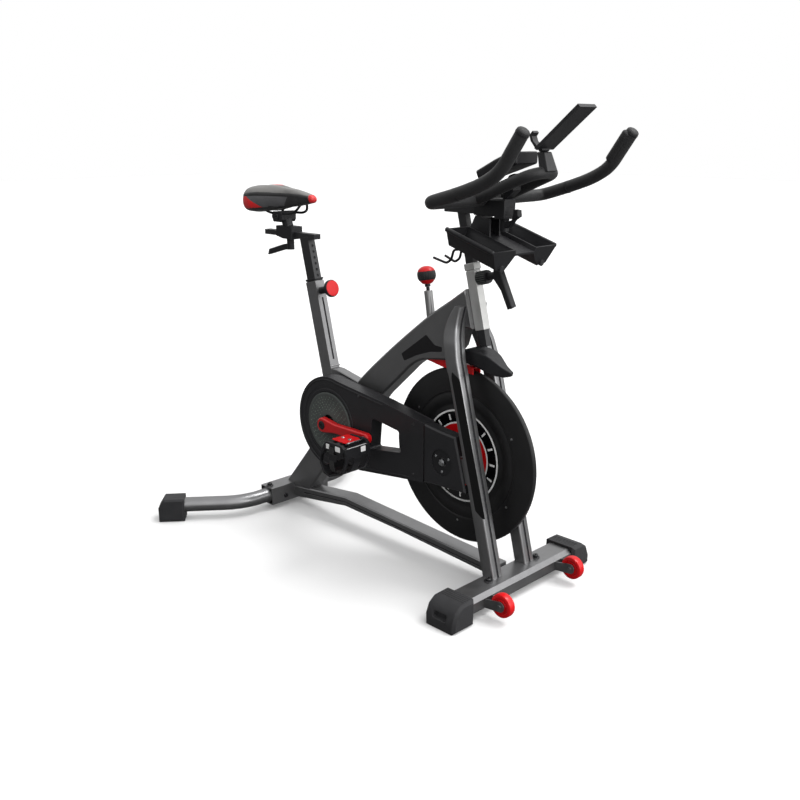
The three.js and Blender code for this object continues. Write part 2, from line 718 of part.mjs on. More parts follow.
add(
  'belt_cover_inner',
  cut(
    plate(coverOutline(0), COVER.split + GAP, COVER.inner, 0, 12),
    plate(coverWindow(0), -100, 0),
    wheel(CRANK, 0, 30, -100, 0, 12),
  ),
  'satin',
);
add(
  'crank_cap',
  turned(CRANK, [
    [24, COVER.outer + 1], [CAP_RADIUS, COVER.outer + 1], [CAP_RADIUS, COVER.outer - 1.5],
    [CAP_RADIUS - 2, COVER.outer - 3], [24, COVER.outer - 3], [24, COVER.outer + 1],
  ], 30),
  'disc',
);
const hubOutline = [[297, 244], [320, 247], [436, 252], [400, 386], [352, 390], [297, 397.7]];
// The room inside the hub cover; it is open towards the belt cover.
function hubPocket(wall) {
  return [
    [297 - wall, 244 + wall], [320, 247 + wall], [436 - wall, 252 + wall],
    [400 - wall, 386 - wall], [352, 390 - wall], [297 - wall, 397.7 - wall],
  ];
}
const dropoutRoom = plate(
  [[HUB.x - 20, HUB.z - 24], [470, HUB.z - 50], [450, HUB.z + 30], [HUB.x - 20, HUB.z + 22]],
  -DROPOUT.right[1] - 1, -30,
);
add(
  'hub_cover',
  cut(
    plate(hubOutline, COVER.outer, COVER.split, 4),
    plate(hubPocket(COVER.wall), COVER.outer + COVER.wall, COVER.split + 5),
    wheel(HUB, 0, 34, COVER.outer - 5, COVER.split, 12),
    mirror(legShape(0.5)),
    dropoutRoom,
  ),
  'black',
);

// ---------------------------------------------------------------- frame trim

// Beak-shaped guard over the front of the flywheel, ahead of the beam; it narrows to its tip.
const FENDER_HALF = 27;
const fenderOutline = [
  [372, 588], [395, 594], [430, 590], [455, 578], [482, 560], [504, 550], [500, 540], [484, 536],
  [455, 540], [420, 550], [380, 556], [360, 560],
];
const fenderPlan = [
  [350, -FENDER_HALF], [428, -FENDER_HALF], [454, -21], [482, -11], [506, -5],
  [506, 5], [482, 11], [454, 21], [428, FENDER_HALF], [350, FENDER_HALF],
];
const underFender = [
  [350, 530], [425, 530], [470, 520], [470, 544], [440, 560], [400, 578], [350, 578],
];
add(
  'flywheel_fender',
  cut(
    common(plate(fenderOutline, -FENDER_HALF, FENDER_HALF, 4), slab(fenderPlan, 500, 620)),
    plate(underFender, -15, 15),
    mirror(legShape(0.5)),
    legShape(0.5),
  ),
  'black',
);

add(
  'brake_guide_tube',
  cut(rod(GUIDE.top, [246, 0, 629.6], GUIDE.outer, 18), rod([229.8, 0, 731], GUIDE.foot, GUIDE.inner, 14)),
  'silver',
);

// ---------------------------------------------------------------- brake

const guideDirection = new THREE.Vector3(...GUIDE.top).sub(new THREE.Vector3(...GUIDE.foot)).normalize();
const onGuide = (distance) =>
  new THREE.Vector3(...GUIDE.top).addScaledVector(guideDirection, distance).toArray();
const ROD_TOP = 16;
add(
  'brake_rod',
  join(
    rod(onGuide(-151), onGuide(ROD_TOP), ROD_RADIUS, 12),
    rod(onGuide(ROD_TOP - 7), onGuide(ROD_TOP), 7, 14),
  ),
  'steel',
);
const KNOB = { radius: 23.3, base: ROD_TOP + GAP, height: 44 };
const knobProfile = [
  [0, 0], [10, 0], [15, 3], [22, 11], [KNOB.radius, 22],
  [21.5, 32], [14, 41.5], [6, KNOB.height], [0, KNOB.height],
];
const knob = new THREE.LatheGeometry(knobProfile.map(([r, h]) => new THREE.Vector2(r, h)), 18);
knob.applyQuaternion(new THREE.Quaternion().setFromUnitVectors(new THREE.Vector3(0, 1, 0), guideDirection));
knob.translate(...onGuide(KNOB.base));
add('resistance_knob', geometryOf(solid(knob)), 'red');

// Magnet carrier: a roof and two cheeks that straddle the rim; it hinges at its rear end.
const CARRIER = { inner: 10.5, outer: 15.5, roof: 541.5 };
const carrierOutline = [
  [238, 541], [266, 536], [300, 530], [396, 528], [396, 544], [388, 549.5], [318, 557], [238, 551],
];
add(
  'magnet_carrier',
  cut(
    plate(carrierOutline, -CARRIER.outer, CARRIER.outer, 1),
    block(290, 420, -CARRIER.inner, CARRIER.inner, 490, CARRIER.roof),
  ),
  'red',
);

// ---------------------------------------------------------------- seat

const inSeatTube = [
  SEAT_TUBE.depth - 2 * (SEAT_TUBE.wall + GAP),
  SEAT_TUBE.width - 2 * (SEAT_TUBE.wall + GAP),
];
add(
  'seat_bushing',
  cut(
    join(
      leaning(SEAT_PIVOT, 636, 690, ...inSeatTube),
      leaning(SEAT_PIVOT, 688 + GAP, 694, SEAT_TUBE.depth, SEAT_TUBE.width, 1),
    ),
    leaning(SEAT_PIVOT, 600, 720, SEAT_POST.depth + 2 * GAP, SEAT_POST.width + 2 * GAP),
    rod(onPost(SEAT_PIVOT, PIN_HEIGHT, 0), onPost(SEAT_PIVOT, PIN_HEIGHT, 40), 7, 16),
  ),
  'black',
);

const SLIDER = { x0: -411, x1: -188, half: 11, z0: 803, z1: 817 };
const slider = block(SLIDER.x0, SLIDER.x1, -SLIDER.half, SLIDER.half, SLIDER.z0, SLIDER.z1);
add(
  'seat_post',
  join(leaning(SEAT_PIVOT, 540, 806, SEAT_POST.depth, SEAT_POST.width, 1), slider),
  'satin',
);

// A single steel wire: from the rear of the saddle down to the clamp, forward, and up into the nose.
const wireHalf = [[-396, 40, 884], [-366, 22, 866], [-275, 22, 869], [-254, 20, 876], [-241, 10, 897]];
const wirePath = [...wireHalf, ...wireHalf.map(([x, y, z]) => [x, -y, z]).reverse()];
const wire = (radius) => bent(wirePath, radius, 12, 28, 3);
add('saddle_rails', join(wire(3.5)), 'steel');
add(
  'seat_carriage',
  cut(
    join(
      plate([[-348, 803], [-318, 797], [-276, 797], [-276, 832], [-348, 832]], -20, 20, 2),
      rod([-314, 0, 828], [-322, 0, 848], 15, 14),
      plate([[-357, 858], [-350, 843], [-316, 843], [-311, 850], [-311, 874], [-352, 871]], -27, 27, 2),
    ),
    block(
      SLIDER.x0 - 90, SLIDER.x1 + 90, -SLIDER.half - GAP, SLIDER.half + GAP,
      SLIDER.z0 - GAP, SLIDER.z1 + GAP,
    ),
    wire(3.5 + GAP),
  ),
  'black',
);

// Clamp screw under the carriage with an L-shaped handle.
const LEVER = { x: -307, top: 797 - GAP, radius: 10.5 };
add(
  'seat_lever',
  join(
    rod([LEVER.x, 0, LEVER.top], [LEVER.x, 0, 766], LEVER.radius, 16),
    plate([[-297, 766], [-297, 782], [-330, 780], [-402, 760], [-407, 743], [-330, 764]], -7, 7, 2),
  ),
  'black',
);

// Spring pin on the front of the seat tube; its tip stops just short of the post.
const pinPoint = (ahead) => onPost(SEAT_PIVOT, PIN_HEIGHT, ahead);
const KNOB_DISC = 24;
add(
  'seat_pin',
  join(
    rod(pinPoint(SEAT_POST.depth / 2 + 2 * GAP), pinPoint(62), 4.5, 12),
    rod(pinPoint(SEAT_TUBE.depth / 2 + 0.5), pinPoint(40), 10, 12),
    rod(pinPoint(61), pinPoint(73), KNOB_DISC, 22),
    rod(pinPoint(46), pinPoint(62), 15, 16),
    rod(pinPoint(38), pinPoint(48), 8, 12),
  ),
  'red',
);

// Saddle sections from nose to tail: [x, half width, top, underside].
const SADDLE = [
  [-192, 8, 914, 902], [-199, 14, 921, 898], [-222, 19, 926, 895], [-255, 22, 930, 892],
  [-300, 28, 934, 887], [-340, 42, 938, 880], [-375, 62, 942, 873], [-405, 76, 942, 868],
  [-430, 75, 939, 867], [-444, 61, 932, 876],
];
function saddleRing([x, w, top, low]) {
  const h = top - low;
  const right = [
    [0.35, top], [0.75, top - 0.07 * h], [0.97, top - 0.3 * h], [1, top - 0.62 * h],
    [0.86, low + 0.08 * h], [0.6, low], [0.25, low + 0.12 * h],
  ];
  const left = right.map(([u, z]) => [-u, z]).reverse();
  return [...right, ...left].map(([u, z]) => [x, u * w, z]);
}
add('saddle', cut(loft(SADDLE.map(saddleRing)), wire(3.5 + GAP)), 'grey');

// ---------------------------------------------------------------- handlebar

const inHeadTube = [
  HEAD_TUBE.depth - 2 * (HEAD_TUBE.wall + GAP),
  HEAD_TUBE.width - 2 * (HEAD_TUBE.wall + GAP),
];
add(
  'head_collar',
  cut(
    join(
      leaning(HEAD_PIVOT, 730, 778, ...inHeadTube),
      leaning(HEAD_PIVOT, 776 + GAP, 792, HEAD_TUBE.depth + 2, HEAD_TUBE.width + 2, 1),
    ),
    leaning(HEAD_PIVOT, 700, 820, BAR_POST.depth + 2 * GAP, BAR_POST.width + 2 * GAP),
  ),
  'silver',
);

const RAIL = { x0: 295, x1: 440, half: 13, z0: 907, z1: 924 };
// The bracket under the rail holds the rack: a solid root with two cheeks ahead of it.
const CHEEK = { inner: 15, outer: 19.5, low: 899, top: 904.4, root: 416 };
const cheekOutline = [
  [372, 856], [387, 856], [387, 874.6], [440, 858],
  [440, CHEEK.low], [CHEEK.root, CHEEK.low], [CHEEK.root, CHEEK.top], [397, CHEEK.top],
];
const rootOutline = [
  [372, 856], [387, 856], [387, 874.6], [CHEEK.root, 866], [CHEEK.root, CHEEK.top], [397, CHEEK.top],
];

add(
  'handlebar_post',
  join(
    leaning(HEAD_PIVOT, 600, RAIL.z0 + 4, BAR_POST.depth, BAR_POST.width, 1),
    block(RAIL.x0, RAIL.x1, -RAIL.half, RAIL.half, RAIL.z0, RAIL.z1),
    plate(cheekOutline, CHEEK.inner, CHEEK.outer),
    plate(cheekOutline, -CHEEK.outer, -CHEEK.inner),
    plate(rootOutline, -CHEEK.outer, CHEEK.outer),
    block(398, CHEEK.root, -RAIL.half + 1, RAIL.half - 1, 880, RAIL.z0 + 4),
  ),
  'satin',
);

// Twin troughs for small dumbbells, tilted down to the front, with a web between them.
const RACK = { x: 393, z: 881.1, length: 144, tilt: 0.3037, wall: 3.5 };
const rackHalf = [[114, 0], [37, 0], [33, -9], [0, -9], [0, -14], [33, -14], [58, -46], [90, -42]];
const troughHalf = [[109, 5], [87, -38], [60, -42], [41, -9], [40, 5]];
const flip = (points) => points.map(([y, z]) => [-y, z]);
function tilted(geometry) {
  geometry.rotateY(RACK.tilt);
  geometry.translate(RACK.x, 0, RACK.z);
  return geometry;
}
const trough = (points) => tilted(rib(points, RACK.wall, RACK.length - RACK.wall));
const DRAIN = { y: 72, z: -40, radius: 6.5 };
function drain(side) {
  const at = (x) => [x, side * DRAIN.y, DRAIN.z];
  return tilted(rod(at(RACK.length - 1), at(RACK.length + 4), DRAIN.radius, 10));
}
add(
  'dumbbell_rack',
  cut(
    join(
      tilted(rib(rackHalf, 0, RACK.length)),
      tilted(rib(flip(rackHalf), 0, RACK.length)),
      drain(1),
      drain(-1),
    ),
    trough(troughHalf),
    trough(flip(troughHalf)),
  ),
  'black',
);

const HOOK_RADIUS = 2.5;
const hookPath = [
  [265, -15, 796], [307, -15, 787], [322, -15, 797], [328, -14, 820], [347, -6, 822],
  [347, 6, 822], [328, 14, 820], [322, 15, 797], [307, 15, 787], [275, 15, 799],
];
add('wire_hook', join(bent(hookPath, HOOK_RADIUS, 7, 24, 3)), 'black');

// Handlebar: a wide base bar whose ends run forward into raised horns, and a padded inner loop.
const hornPath = [
  [661, -BAR_HALF, 1087], [608, -BAR_HALF, 1010], [563, -BAR_HALF, 985], [500, -BAR_HALF, 964],
];
const BAR_CORNER = [417, -203, 941];
const mirrored = (points) => points.map(([x, y, z]) => [x, -y, z]).reverse();
const barHalf = [...hornPath, BAR_CORNER];
const barPath = [...barHalf, ...mirrored(barHalf)];
const loopHalf = [[430, -45, 945], [516, -45, 981], [575, -38, 1003]];
const loopPath = [...loopHalf, ...mirrored(loopHalf)];
const LOOP_RADIUS = 13;

// A thumb pad along the inner rear side of a horn.
function gripPad(side) {
  const [tip, bend] = hornPath;
  const along = (t) => [0, 1, 2].map((k) => THREE.MathUtils.lerp(bend[k], tip[k], t));
  const shift = ([x, y, z]) => [x - 7, side * (-y - 8), z];
  return rod(shift(along(0.22)), shift(along(0.97)), 11, 12);
}

const CARRIAGE = { x0: 392, x1: 481, half: 20, nut: 452, low: 905, wall: 4 };
const openRail = RAIL.half + GAP;
const carriage = join(
  block(CARRIAGE.x0, CARRIAGE.x1, -CARRIAGE.half, CARRIAGE.half, CARRIAGE.low, 944, 2),
  block(CARRIAGE.nut, CARRIAGE.x1, -CARRIAGE.half, CARRIAGE.half, 899.5, 944),
);
const railChannel = join(
  block(380, CARRIAGE.x1 - CARRIAGE.wall, -openRail, openRail, RAIL.z0 - GAP, RAIL.z1 + GAP),
  block(380, CARRIAGE.nut, -openRail, openRail, 890, RAIL.z1),
);
const CONSOLE_HALF = 40;
const TABLET_HINGE = { x: 568, z: 1051, radius: 5 };
const rectangle = (x0, x1, y, z) => [[x0, -y, z], [x1, -y, z], [x1, y, z], [x0, y, z]];
const neck = loft([rectangle(570, 594, 18, 1006), rectangle(559, 579, 13, 1046)]);
add(
  'handlebar',
  cut(
    join(
      bent(barPath, BAR_RADIUS, 30, 34, 5),
      bent(loopPath, LOOP_RADIUS, 30, 18, 5),
      gripPad(1),
      gripPad(-1),
      carriage,
      block(470, 500, -14, 14, 938, 1000),
      neck,
    ),
    railChannel,
    rod(
      [TABLET_HINGE.x, -40, TABLET_HINGE.z], [TABLET_HINGE.x, 40, TABLET_HINGE.z],
      TABLET_HINGE.radius + 3, 16,
    ),
  ),
  'grip',
);

const consoleOutline = [[418, 985], [525, 1020], [525, 1046], [503, 1046], [462, 1029], [409, 1003]];
add('console', plate(consoleOutline, -CONSOLE_HALF, CONSOLE_HALF, 4), 'satin');

// Tablet shelf with a J-shaped lip, on a friction hinge above the neck.
const TABLET = { half: 30, top: 1135, knuckle: 13 };
const shelfOutline = [[564, 1054], [570, 1050], [BIKE_FRONT, TABLET.top], [BIKE_FRONT - 6, TABLET.top + 6]];
const lip = [
  [566, 1049], [553, 1051], [538, 1068], [534, 1080], [542, 1089], [546, 1085], [541, 1078], [545, 1068],
  [556, 1058], [566, 1057],
];
add(
  'tablet_holder',
  join(
    plate(shelfOutline, -TABLET.half, TABLET.half),
    plate(lip, -9, 9),
    rod(
      [TABLET_HINGE.x, -TABLET.knuckle, TABLET_HINGE.z],
      [TABLET_HINGE.x, TABLET.knuckle, TABLET_HINGE.z],
      TABLET_HINGE.radius, 16,
    ),
  ),
  'satin',
);

// Clamp lever for the bar height, on the front face of the head tube.
const CLAMP_HEIGHT = 755;
const clampPoint = (ahead) => onPost(HEAD_PIVOT, CLAMP_HEIGHT, ahead);
add(
  'height_lever',
  join(
    rod(clampPoint(HEAD_TUBE.depth / 2 + 0.5), clampPoint(44), 15.5, 18),
    rod(clampPoint(40), clampPoint(76), 9, 14),
    plate([[444, 784], [464, 784], [503, 705], [489, 697], [468, 738], [444, 764]], -9, 9, 2),
  ),
  'black',
);

// Clamp lever for the bar's reach, under the carriage; its handle rises ahead of the carriage.
const REACH = { x: 467, top: 899 };
const reachHandle = [
  [REACH.x, 878], [484, 881], [498, 899], [511, 907], [509, 921],
  [497, 922], [492, 900], [488, 896], [REACH.x, 893],
];
add(
  'foreaft_lever',
  join(
    rod([REACH.x, 0, 872], [REACH.x, 0, REACH.top], 10.5, 16),
    plate(reachHandle, -8, 8, 2),
  ),
  'black',
);

// The origin is on the floor under the centre of the whole bike.
const overall = new THREE.Box3().setFromObject(bike);
bike.position.x = -(overall.min.x + overall.max.x) / 2;

export default bike;
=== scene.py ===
import json
import math

import bmesh
import bpy
from mathutils import Matrix, Vector
from mathutils.bvhtree import BVHTree


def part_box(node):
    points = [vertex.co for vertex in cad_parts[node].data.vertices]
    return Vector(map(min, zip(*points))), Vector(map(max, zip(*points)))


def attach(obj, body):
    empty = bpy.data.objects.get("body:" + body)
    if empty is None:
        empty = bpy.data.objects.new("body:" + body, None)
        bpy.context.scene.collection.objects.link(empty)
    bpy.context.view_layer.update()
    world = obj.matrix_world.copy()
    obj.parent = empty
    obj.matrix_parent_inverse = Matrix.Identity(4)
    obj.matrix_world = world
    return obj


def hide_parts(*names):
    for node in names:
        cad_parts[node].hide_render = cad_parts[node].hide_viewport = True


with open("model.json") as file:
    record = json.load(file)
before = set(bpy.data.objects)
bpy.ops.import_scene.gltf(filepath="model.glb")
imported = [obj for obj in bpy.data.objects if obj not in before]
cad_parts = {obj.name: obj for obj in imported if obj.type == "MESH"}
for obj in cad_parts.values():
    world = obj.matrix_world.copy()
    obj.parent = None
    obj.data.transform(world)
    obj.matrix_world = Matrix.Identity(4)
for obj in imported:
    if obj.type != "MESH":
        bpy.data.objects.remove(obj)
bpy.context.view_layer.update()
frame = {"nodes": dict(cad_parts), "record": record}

# ---------------- places, in millimetres
# Points are written like the CAD's: X from a datum 60 mm ahead of the crank axle, Y to the left, Z up.

MM = 0.001
X, Y, Z = Vector((1, 0, 0)), Vector((0, 1, 0)), Vector((0, 0, 1))
SIDES = ((1, "left"), (-1, "right"))
CRANK_TO_DATUM = 60
CRANK_LENGTH = 170
LEAN = math.radians(14)
POST_FRONT = X * math.cos(LEAN) + Z * math.sin(LEAN)  # square to both leaning posts

BODY_OF = {n: b for b, nodes in frame["record"]["behaviour"]["bodies"].items() for n in nodes}


def middle_x(node):
    lo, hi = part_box(node)
    return ((lo + hi) / 2 / MM).x


DATUM = middle_x("crank_spindle") + CRANK_TO_DATUM


def place(x, y, z):
    """A drawn point in millimetres as a point of the frame in metres."""
    return Vector(((x + DATUM) * MM, y * MM, z * MM))


def drawn(node):
    """The lowest and highest corner of a CAD node, as drawn points in millimetres."""
    lo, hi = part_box(node)
    return lo / MM - X * DATUM, hi / MM - X * DATUM


def centre_of(node):
    lo, hi = drawn(node)
    return (lo + hi) / 2


CRANK = centre_of("crank_spindle")
CRANK_AXLE = (CRANK.x, 0, CRANK.z)
HUB = centre_of("flywheel")
HUB_AXLE = (HUB.x, 0, HUB.z)
FLYWHEEL_RADIUS = (drawn("flywheel")[1].z - drawn("flywheel")[0].z) / 2
FLYWHEEL_HALF = drawn("flywheel")[1].y
COVER_FACE = drawn("belt_cover_outer")[0].y
LEG_OUTER = drawn("fork_leg_left")[1].y
BEAM_HALF = 25


# ---------------- materials

def linear(colour):
    """An sRGB hex colour as linear values with alpha."""
    values = [((colour >> s) & 255) / 255 for s in (16, 8, 0)]
    return [v / 12.92 if v <= 0.04045 else ((v + 0.055) / 1.055) ** 2.4 for v in values] + [1]


class Nodes:
    """A node tree whose nodes are added and wired in one call."""

    def __init__(self, tree):
        self.tree = tree

    def feed(self, node, inputs):
        """Links the inputs that are sockets, and sets the others."""
        for key, value in inputs.items():
            if isinstance(value, bpy.types.NodeSocket):
                self.tree.links.new(value, node.inputs[key])
            else:
                node.inputs[key].default_value = value

    def add(self, kind, inputs, output=0, **settings):
        made = self.tree.nodes.new(kind)
        for key, value in settings.items():
            setattr(made, key, value)
        self.feed(made, inputs)
        return made.outputs[output]

    def spread(self, value, low, high, start=0.3, end=0.7, **settings):
        ends = {"From Min": start, "From Max": end, "To Min": low, "To Max": high}
        return self.add("ShaderNodeMapRange", {"Value": value, **ends}, "Result", **settings)

    def math(self, operation, a, b):
        return self.add("ShaderNodeMath", {0: a, 1: b}, operation=operation)

    def seen_by_camera(self):
        return self.add("ShaderNodeLightPath", {}, "Is Camera Ray")


class Surface(Nodes):
    """One procedural material: tone patches, grain, worn edges and a bump, all in object space."""

    def __init__(self, name, colour, rough, metal=0.0):
        self.material = bpy.data.materials.new(name)
        self.material.use_nodes = True
        super().__init__(self.material.node_tree)
        self.shader = self.tree.nodes["Principled BSDF"]
        self.base = linear(colour)
        self.material.diffuse_color = self.base
        self.rough = rough
        self.set(Base_Color=self.base, Roughness=rough, Metallic=metal)
        self.place = self.add("ShaderNodeTexCoord", {}, "Object")
        self.colour = None
        self.height = None

    def set(self, **values):
        self.feed(self.shader, {key.replace("_", " "): value for key, value in values.items()})
        return self

    def noise(self, scale, detail=4, stretch=None):
        at = self.place
        if stretch:
            at = self.add("ShaderNodeMapping", {"Scale": stretch, "Vector": at})
        return self.add("ShaderNodeTexNoise", {"Scale": scale, "Detail": detail, "Vector": at}, "Fac")

    def cells(self, scale, feature="F1", output="Distance"):
        inputs = {"Scale": scale, "Vector": self.place}
        return self.add("ShaderNodeTexVoronoi", inputs, output, feature=feature)

    def mix(self, share, a, b):
        """Two colours mixed; 6 and 7 are the node's colour inputs and 2 its colour output."""
        return self.add("ShaderNodeMix", {"Factor": share, 6: a, 7: b}, 2, data_type="RGBA")

    def tones(self, amount, scale=14):
        """Soft patches a little darker and lighter than the base colour."""
        dark = [c * (1 - amount) for c in self.base[:3]] + [1]
        light = [min(1, c * (1 + amount)) for c in self.base[:3]] + [1]
        self.colour = self.mix(self.spread(self.noise(scale), 0, 1), dark, light)
        return self

    def flakes(self, amount, scale=1900):
        """The metallic glitter of a paint."""
        light = [min(1, c * (1 + 2 * amount) + 0.02 * amount) for c in self.base[:3]] + [1]
        glint = self.spread(self.cells(scale, output="Color"), 0, amount, 0.55, 0.95)
        self.colour = self.mix(glint, self.colour, light)
        return self

    def worn(self, colour, amount, radius=1.1):
        """Lighter paint or plastic along sharp edges, broken up by a noise."""
        rounded = self.add("ShaderNodeBevel", {"Radius": radius * MM}, samples=4)
        flat = self.add("ShaderNodeNewGeometry", {}, "Normal")
        facing = self.add("ShaderNodeVectorMath", {0: rounded, 1: flat}, "Value", operation="DOT_PRODUCT")
        edge = self.spread(facing, amount, 0, 0.82, 0.99)
        broken = self.math("MULTIPLY", edge, self.spread(self.noise(160, 6), 0.15, 1, 0.4, 0.62))
        self.colour = self.mix(broken, self.colour, linear(colour))
        return self

    def grain(self, value, depth):
        """Adds a height to the bump."""
        scaled = self.spread(value, 0, depth, 0, 1)
        self.height = scaled if self.height is None else self.math("ADD", self.height, scaled)
        return self

    def mottled(self, amount, scale=40):
        """A roughness that differs from place to place."""
        low, high = max(0.02, self.rough - amount), min(1, self.rough + amount)
        return self.set(Roughness=self.spread(self.noise(scale, 5), low, high))

    def done(self, strength):
        bump = {"Strength": strength, "Distance": MM, "Height": self.height}
        self.set(Base_Color=self.colour, Normal=self.add("ShaderNodeBump", bump))
        return self.material


def paint(name, colour, rough, metal, flake, worn_colour, coat=0.25):
    s = Surface(name, colour, rough, metal).tones(0.07).flakes(flake).worn(worn_colour, 0.45)
    s.grain(s.noise(420, 2), 0.05).mottled(0.06)
    s.set(Coat_Weight=coat, Coat_Roughness=0.25)
    return s.done(0.5)


def plastic(name, colour, rough, worn_colour=0x5A5A5C, depth=0.12, coat=0.0):
    s = Surface(name, colour, rough).tones(0.1, 22).worn(worn_colour, 0.35)
    s.grain(s.cells(1500), depth).grain(s.noise(90), 0.1).mottled(0.07, 60)
    s.set(Coat_Weight=coat, Coat_Roughness=0.12, Specular_IOR_Level=0.3)
    return s.done(0.55)


def rubber(name, colour, rough, grain=900):
    s = Surface(name, colour, rough).tones(0.16, 30).worn(0x4A4A4B, 0.4, 1.6)
    s.grain(s.cells(grain), 0.3).grain(s.noise(320), 0.2).mottled(0.05)
    s.set(Sheen_Weight=0.05, Sheen_Roughness=0.6, Specular_IOR_Level=0.3)
    return s.done(0.7)


def brushed(name, colour, rough, stretch, metal=1.0):
    s = Surface(name, colour, rough, metal).tones(0.1, 60).worn(0xE8E8E8, 0.4)
    s.grain(s.noise(700, 3, stretch), 0.16).grain(s.noise(220), 0.06).mottled(0.08, 120)
    return s.done(0.5)


def vinyl(name, colour, rough=0.5):
    s = Surface(name, colour, rough).tones(0.09, 26)
    s.grain(s.cells(620, "DISTANCE_TO_EDGE"), 0.7).grain(s.noise(240), 0.25).mottled(0.08, 70)
    s.set(Sheen_Weight=0.12, Coat_Weight=0.08, Coat_Roughness=0.4)
    return s.done(0.45)


def turned_iron(name, colour, rough, metal, pitch=1.6):
    """A turned face: fine circles round the flywheel's axle."""
    s = Surface(name, colour, rough, metal).tones(0.12, 18)
    centre = s.add("ShaderNodeVectorMath", {0: s.place, 1: place(*HUB_AXLE)}, operation="SUBTRACT")
    circles = {"Scale": 1 / (pitch * MM) / 6, "Distortion": 0.4, "Vector": centre}
    wave = s.add("ShaderNodeTexWave", circles, "Fac", wave_type="RINGS", rings_direction="Y")
    s.grain(wave, 0.35).grain(s.noise(500), 0.12).mottled(0.07, 30)
    s.worn(0x6A6A6C, 0.5)
    return s.done(0.5)


CHARCOAL = paint("charcoal_paint", 0x7A7A7B, 0.34, 0.85, 0.3, 0xC8C8CA)
SILVER = paint("silver_paint", 0xBABAB8, 0.36, 0.6, 0.3, 0xE0E0E0)
GUIDE_GREY = paint("guide_grey_paint", 0x8E8E8E, 0.34, 0.7, 0.2, 0xC0C0C0)
RED_PAINT = paint("red_paint", 0xC00910, 0.36, 0.1, 0.1, 0xD03030, 0.15)
SATIN = paint("satin_black_paint", 0x212123, 0.42, 0.2, 0.15, 0x555557, 0.15)
PANEL = plastic("panel_black", 0x131214, 0.5, 0x3A3A3C, 0.15)
BLACK = plastic("black_plastic", 0x1B1B1D, 0.4, 0x505052)
COVER = plastic("cover_plastic", 0x232325, 0.36, 0x5A5A5C, 0.18)
# Painted shade: a dark plastic colour for the faces inside the grooves and holes cut in the frame, the fork
# legs and the posts, darker than the charcoal paint of the frame around them.
GROOVE_SHADE = plastic("groove_painted_shade", 0x222224, 0.6)
DECAL = plastic("plain_band", 0x060607, 0.5, 0x141415, 0.03)
RED_PLASTIC = plastic("red_plastic", 0xC00910, 0.36, 0xD83A3A, 0.05, 0.1)
CAP_GREY = plastic("cap_grey", 0x454947, 0.5, 0x666967, 0.2)
DOT_GREY = plastic("cap_dots", 0x7C8A80, 0.5, 0x909A92)
WHITE = plastic("white_print", 0xE8E8E7, 0.4, 0xFFFFFF, 0.04, 0.2)
GLOSS = plastic("gloss_black", 0x08080A, 0.22, 0x2A2A2C, 0.02, 0.4)
RUBBER = rubber("foot_rubber", 0x202022, 0.68)
FOAM = rubber("grip_foam", 0x202021, 0.46, 1400)
BELT = rubber("belt_rubber", 0x121214, 0.7)
STEEL = brushed("bright_steel", 0xA6A7A9, 0.28, (1, 6, 1))
DARK_STEEL = brushed("black_steel", 0x1E1E20, 0.36, (1, 1, 5), 0.5)
IRON = turned_iron("flywheel_iron", 0x1D1D1E, 0.4, 0.3)
VINYL_GREY = vinyl("saddle_top_grey", 0x696866)
VINYL_DARK = vinyl("saddle_side_grey", 0x474749)
VINYL_BLACK = vinyl("saddle_black", 0x08080A, 0.4)
VINYL_RED = vinyl("saddle_red", 0xC00910, 0.45)


# ---------------- shapes

def object_from(bm, name):
    bmesh.ops.recalc_face_normals(bm, faces=bm.faces)
    mesh = bpy.data.meshes.new(name)
    bm.to_mesh(mesh)
    bm.free()
    made = bpy.data.objects.new(name, mesh)
    bpy.context.scene.collection.objects.link(made)
    return made


def skin(name, rings, joined=False, stripes=()):
    """A closed skin over rings of points in metres; a ring may be one point.

    A joined skin ends where it starts. The faces at the points numbered in stripes take the second material.
    """
    bm = bmesh.new()
    rows = [[bm.verts.new(p) for p in ring] for ring in rings]
    caps = [] if joined else [end for end in (rows[0][::-1], rows[-1]) if len(end) > 1]
    if joined:
        rows.append(rows[0])
    for a, b in zip(rows, rows[1:]):
        count = max(len(a), len(b))
        for k in range(count):
            n = (k + 1) % count
            corners = dict.fromkeys((a[k % len(a)], a[n % len(a)], b[n % len(b)], b[k % len(b)]))
            bm.faces.new(list(corners)).material_index = int(k in stripes)
    for cap in caps:
        bm.faces.new(cap)
    return object_from(bm, name)


def smooth(obj, angle):
    mesh = obj.data
    mesh.polygons.foreach_set("use_smooth", [True] * len(mesh.polygons))
    mesh.set_sharp_from_angle(angle=math.radians(angle))
    mesh.update()
    return obj


def round_edges(obj, width, segments=3, angle=35):
    """Rounds the edges sharper than an angle, and keeps the flat faces flat."""
    mesh = obj.data
    mesh.polygons.foreach_set("use_smooth", [True] * len(mesh.polygons))
    bevel = obj.modifiers.new("edges", "BEVEL")
    bevel.width = width * MM
    bevel.segments = segments
    bevel.limit_method = "ANGLE"
    bevel.angle_limit = math.radians(angle)
    bevel.miter_outer = "MITER_ARC"
    bevel.harden_normals = True
    obj.modifiers.new("shade", "WEIGHTED_NORMAL").keep_sharp = True
    return obj


def spokes(u, v, count, start=0):
    """Directions spread evenly round a circle, from u towards v, the first one start degrees on."""
    turns = [math.radians(start) + 2 * math.pi * k / count for k in range(count)]
    return [u * math.cos(a) + v * math.sin(a) for a in turns]


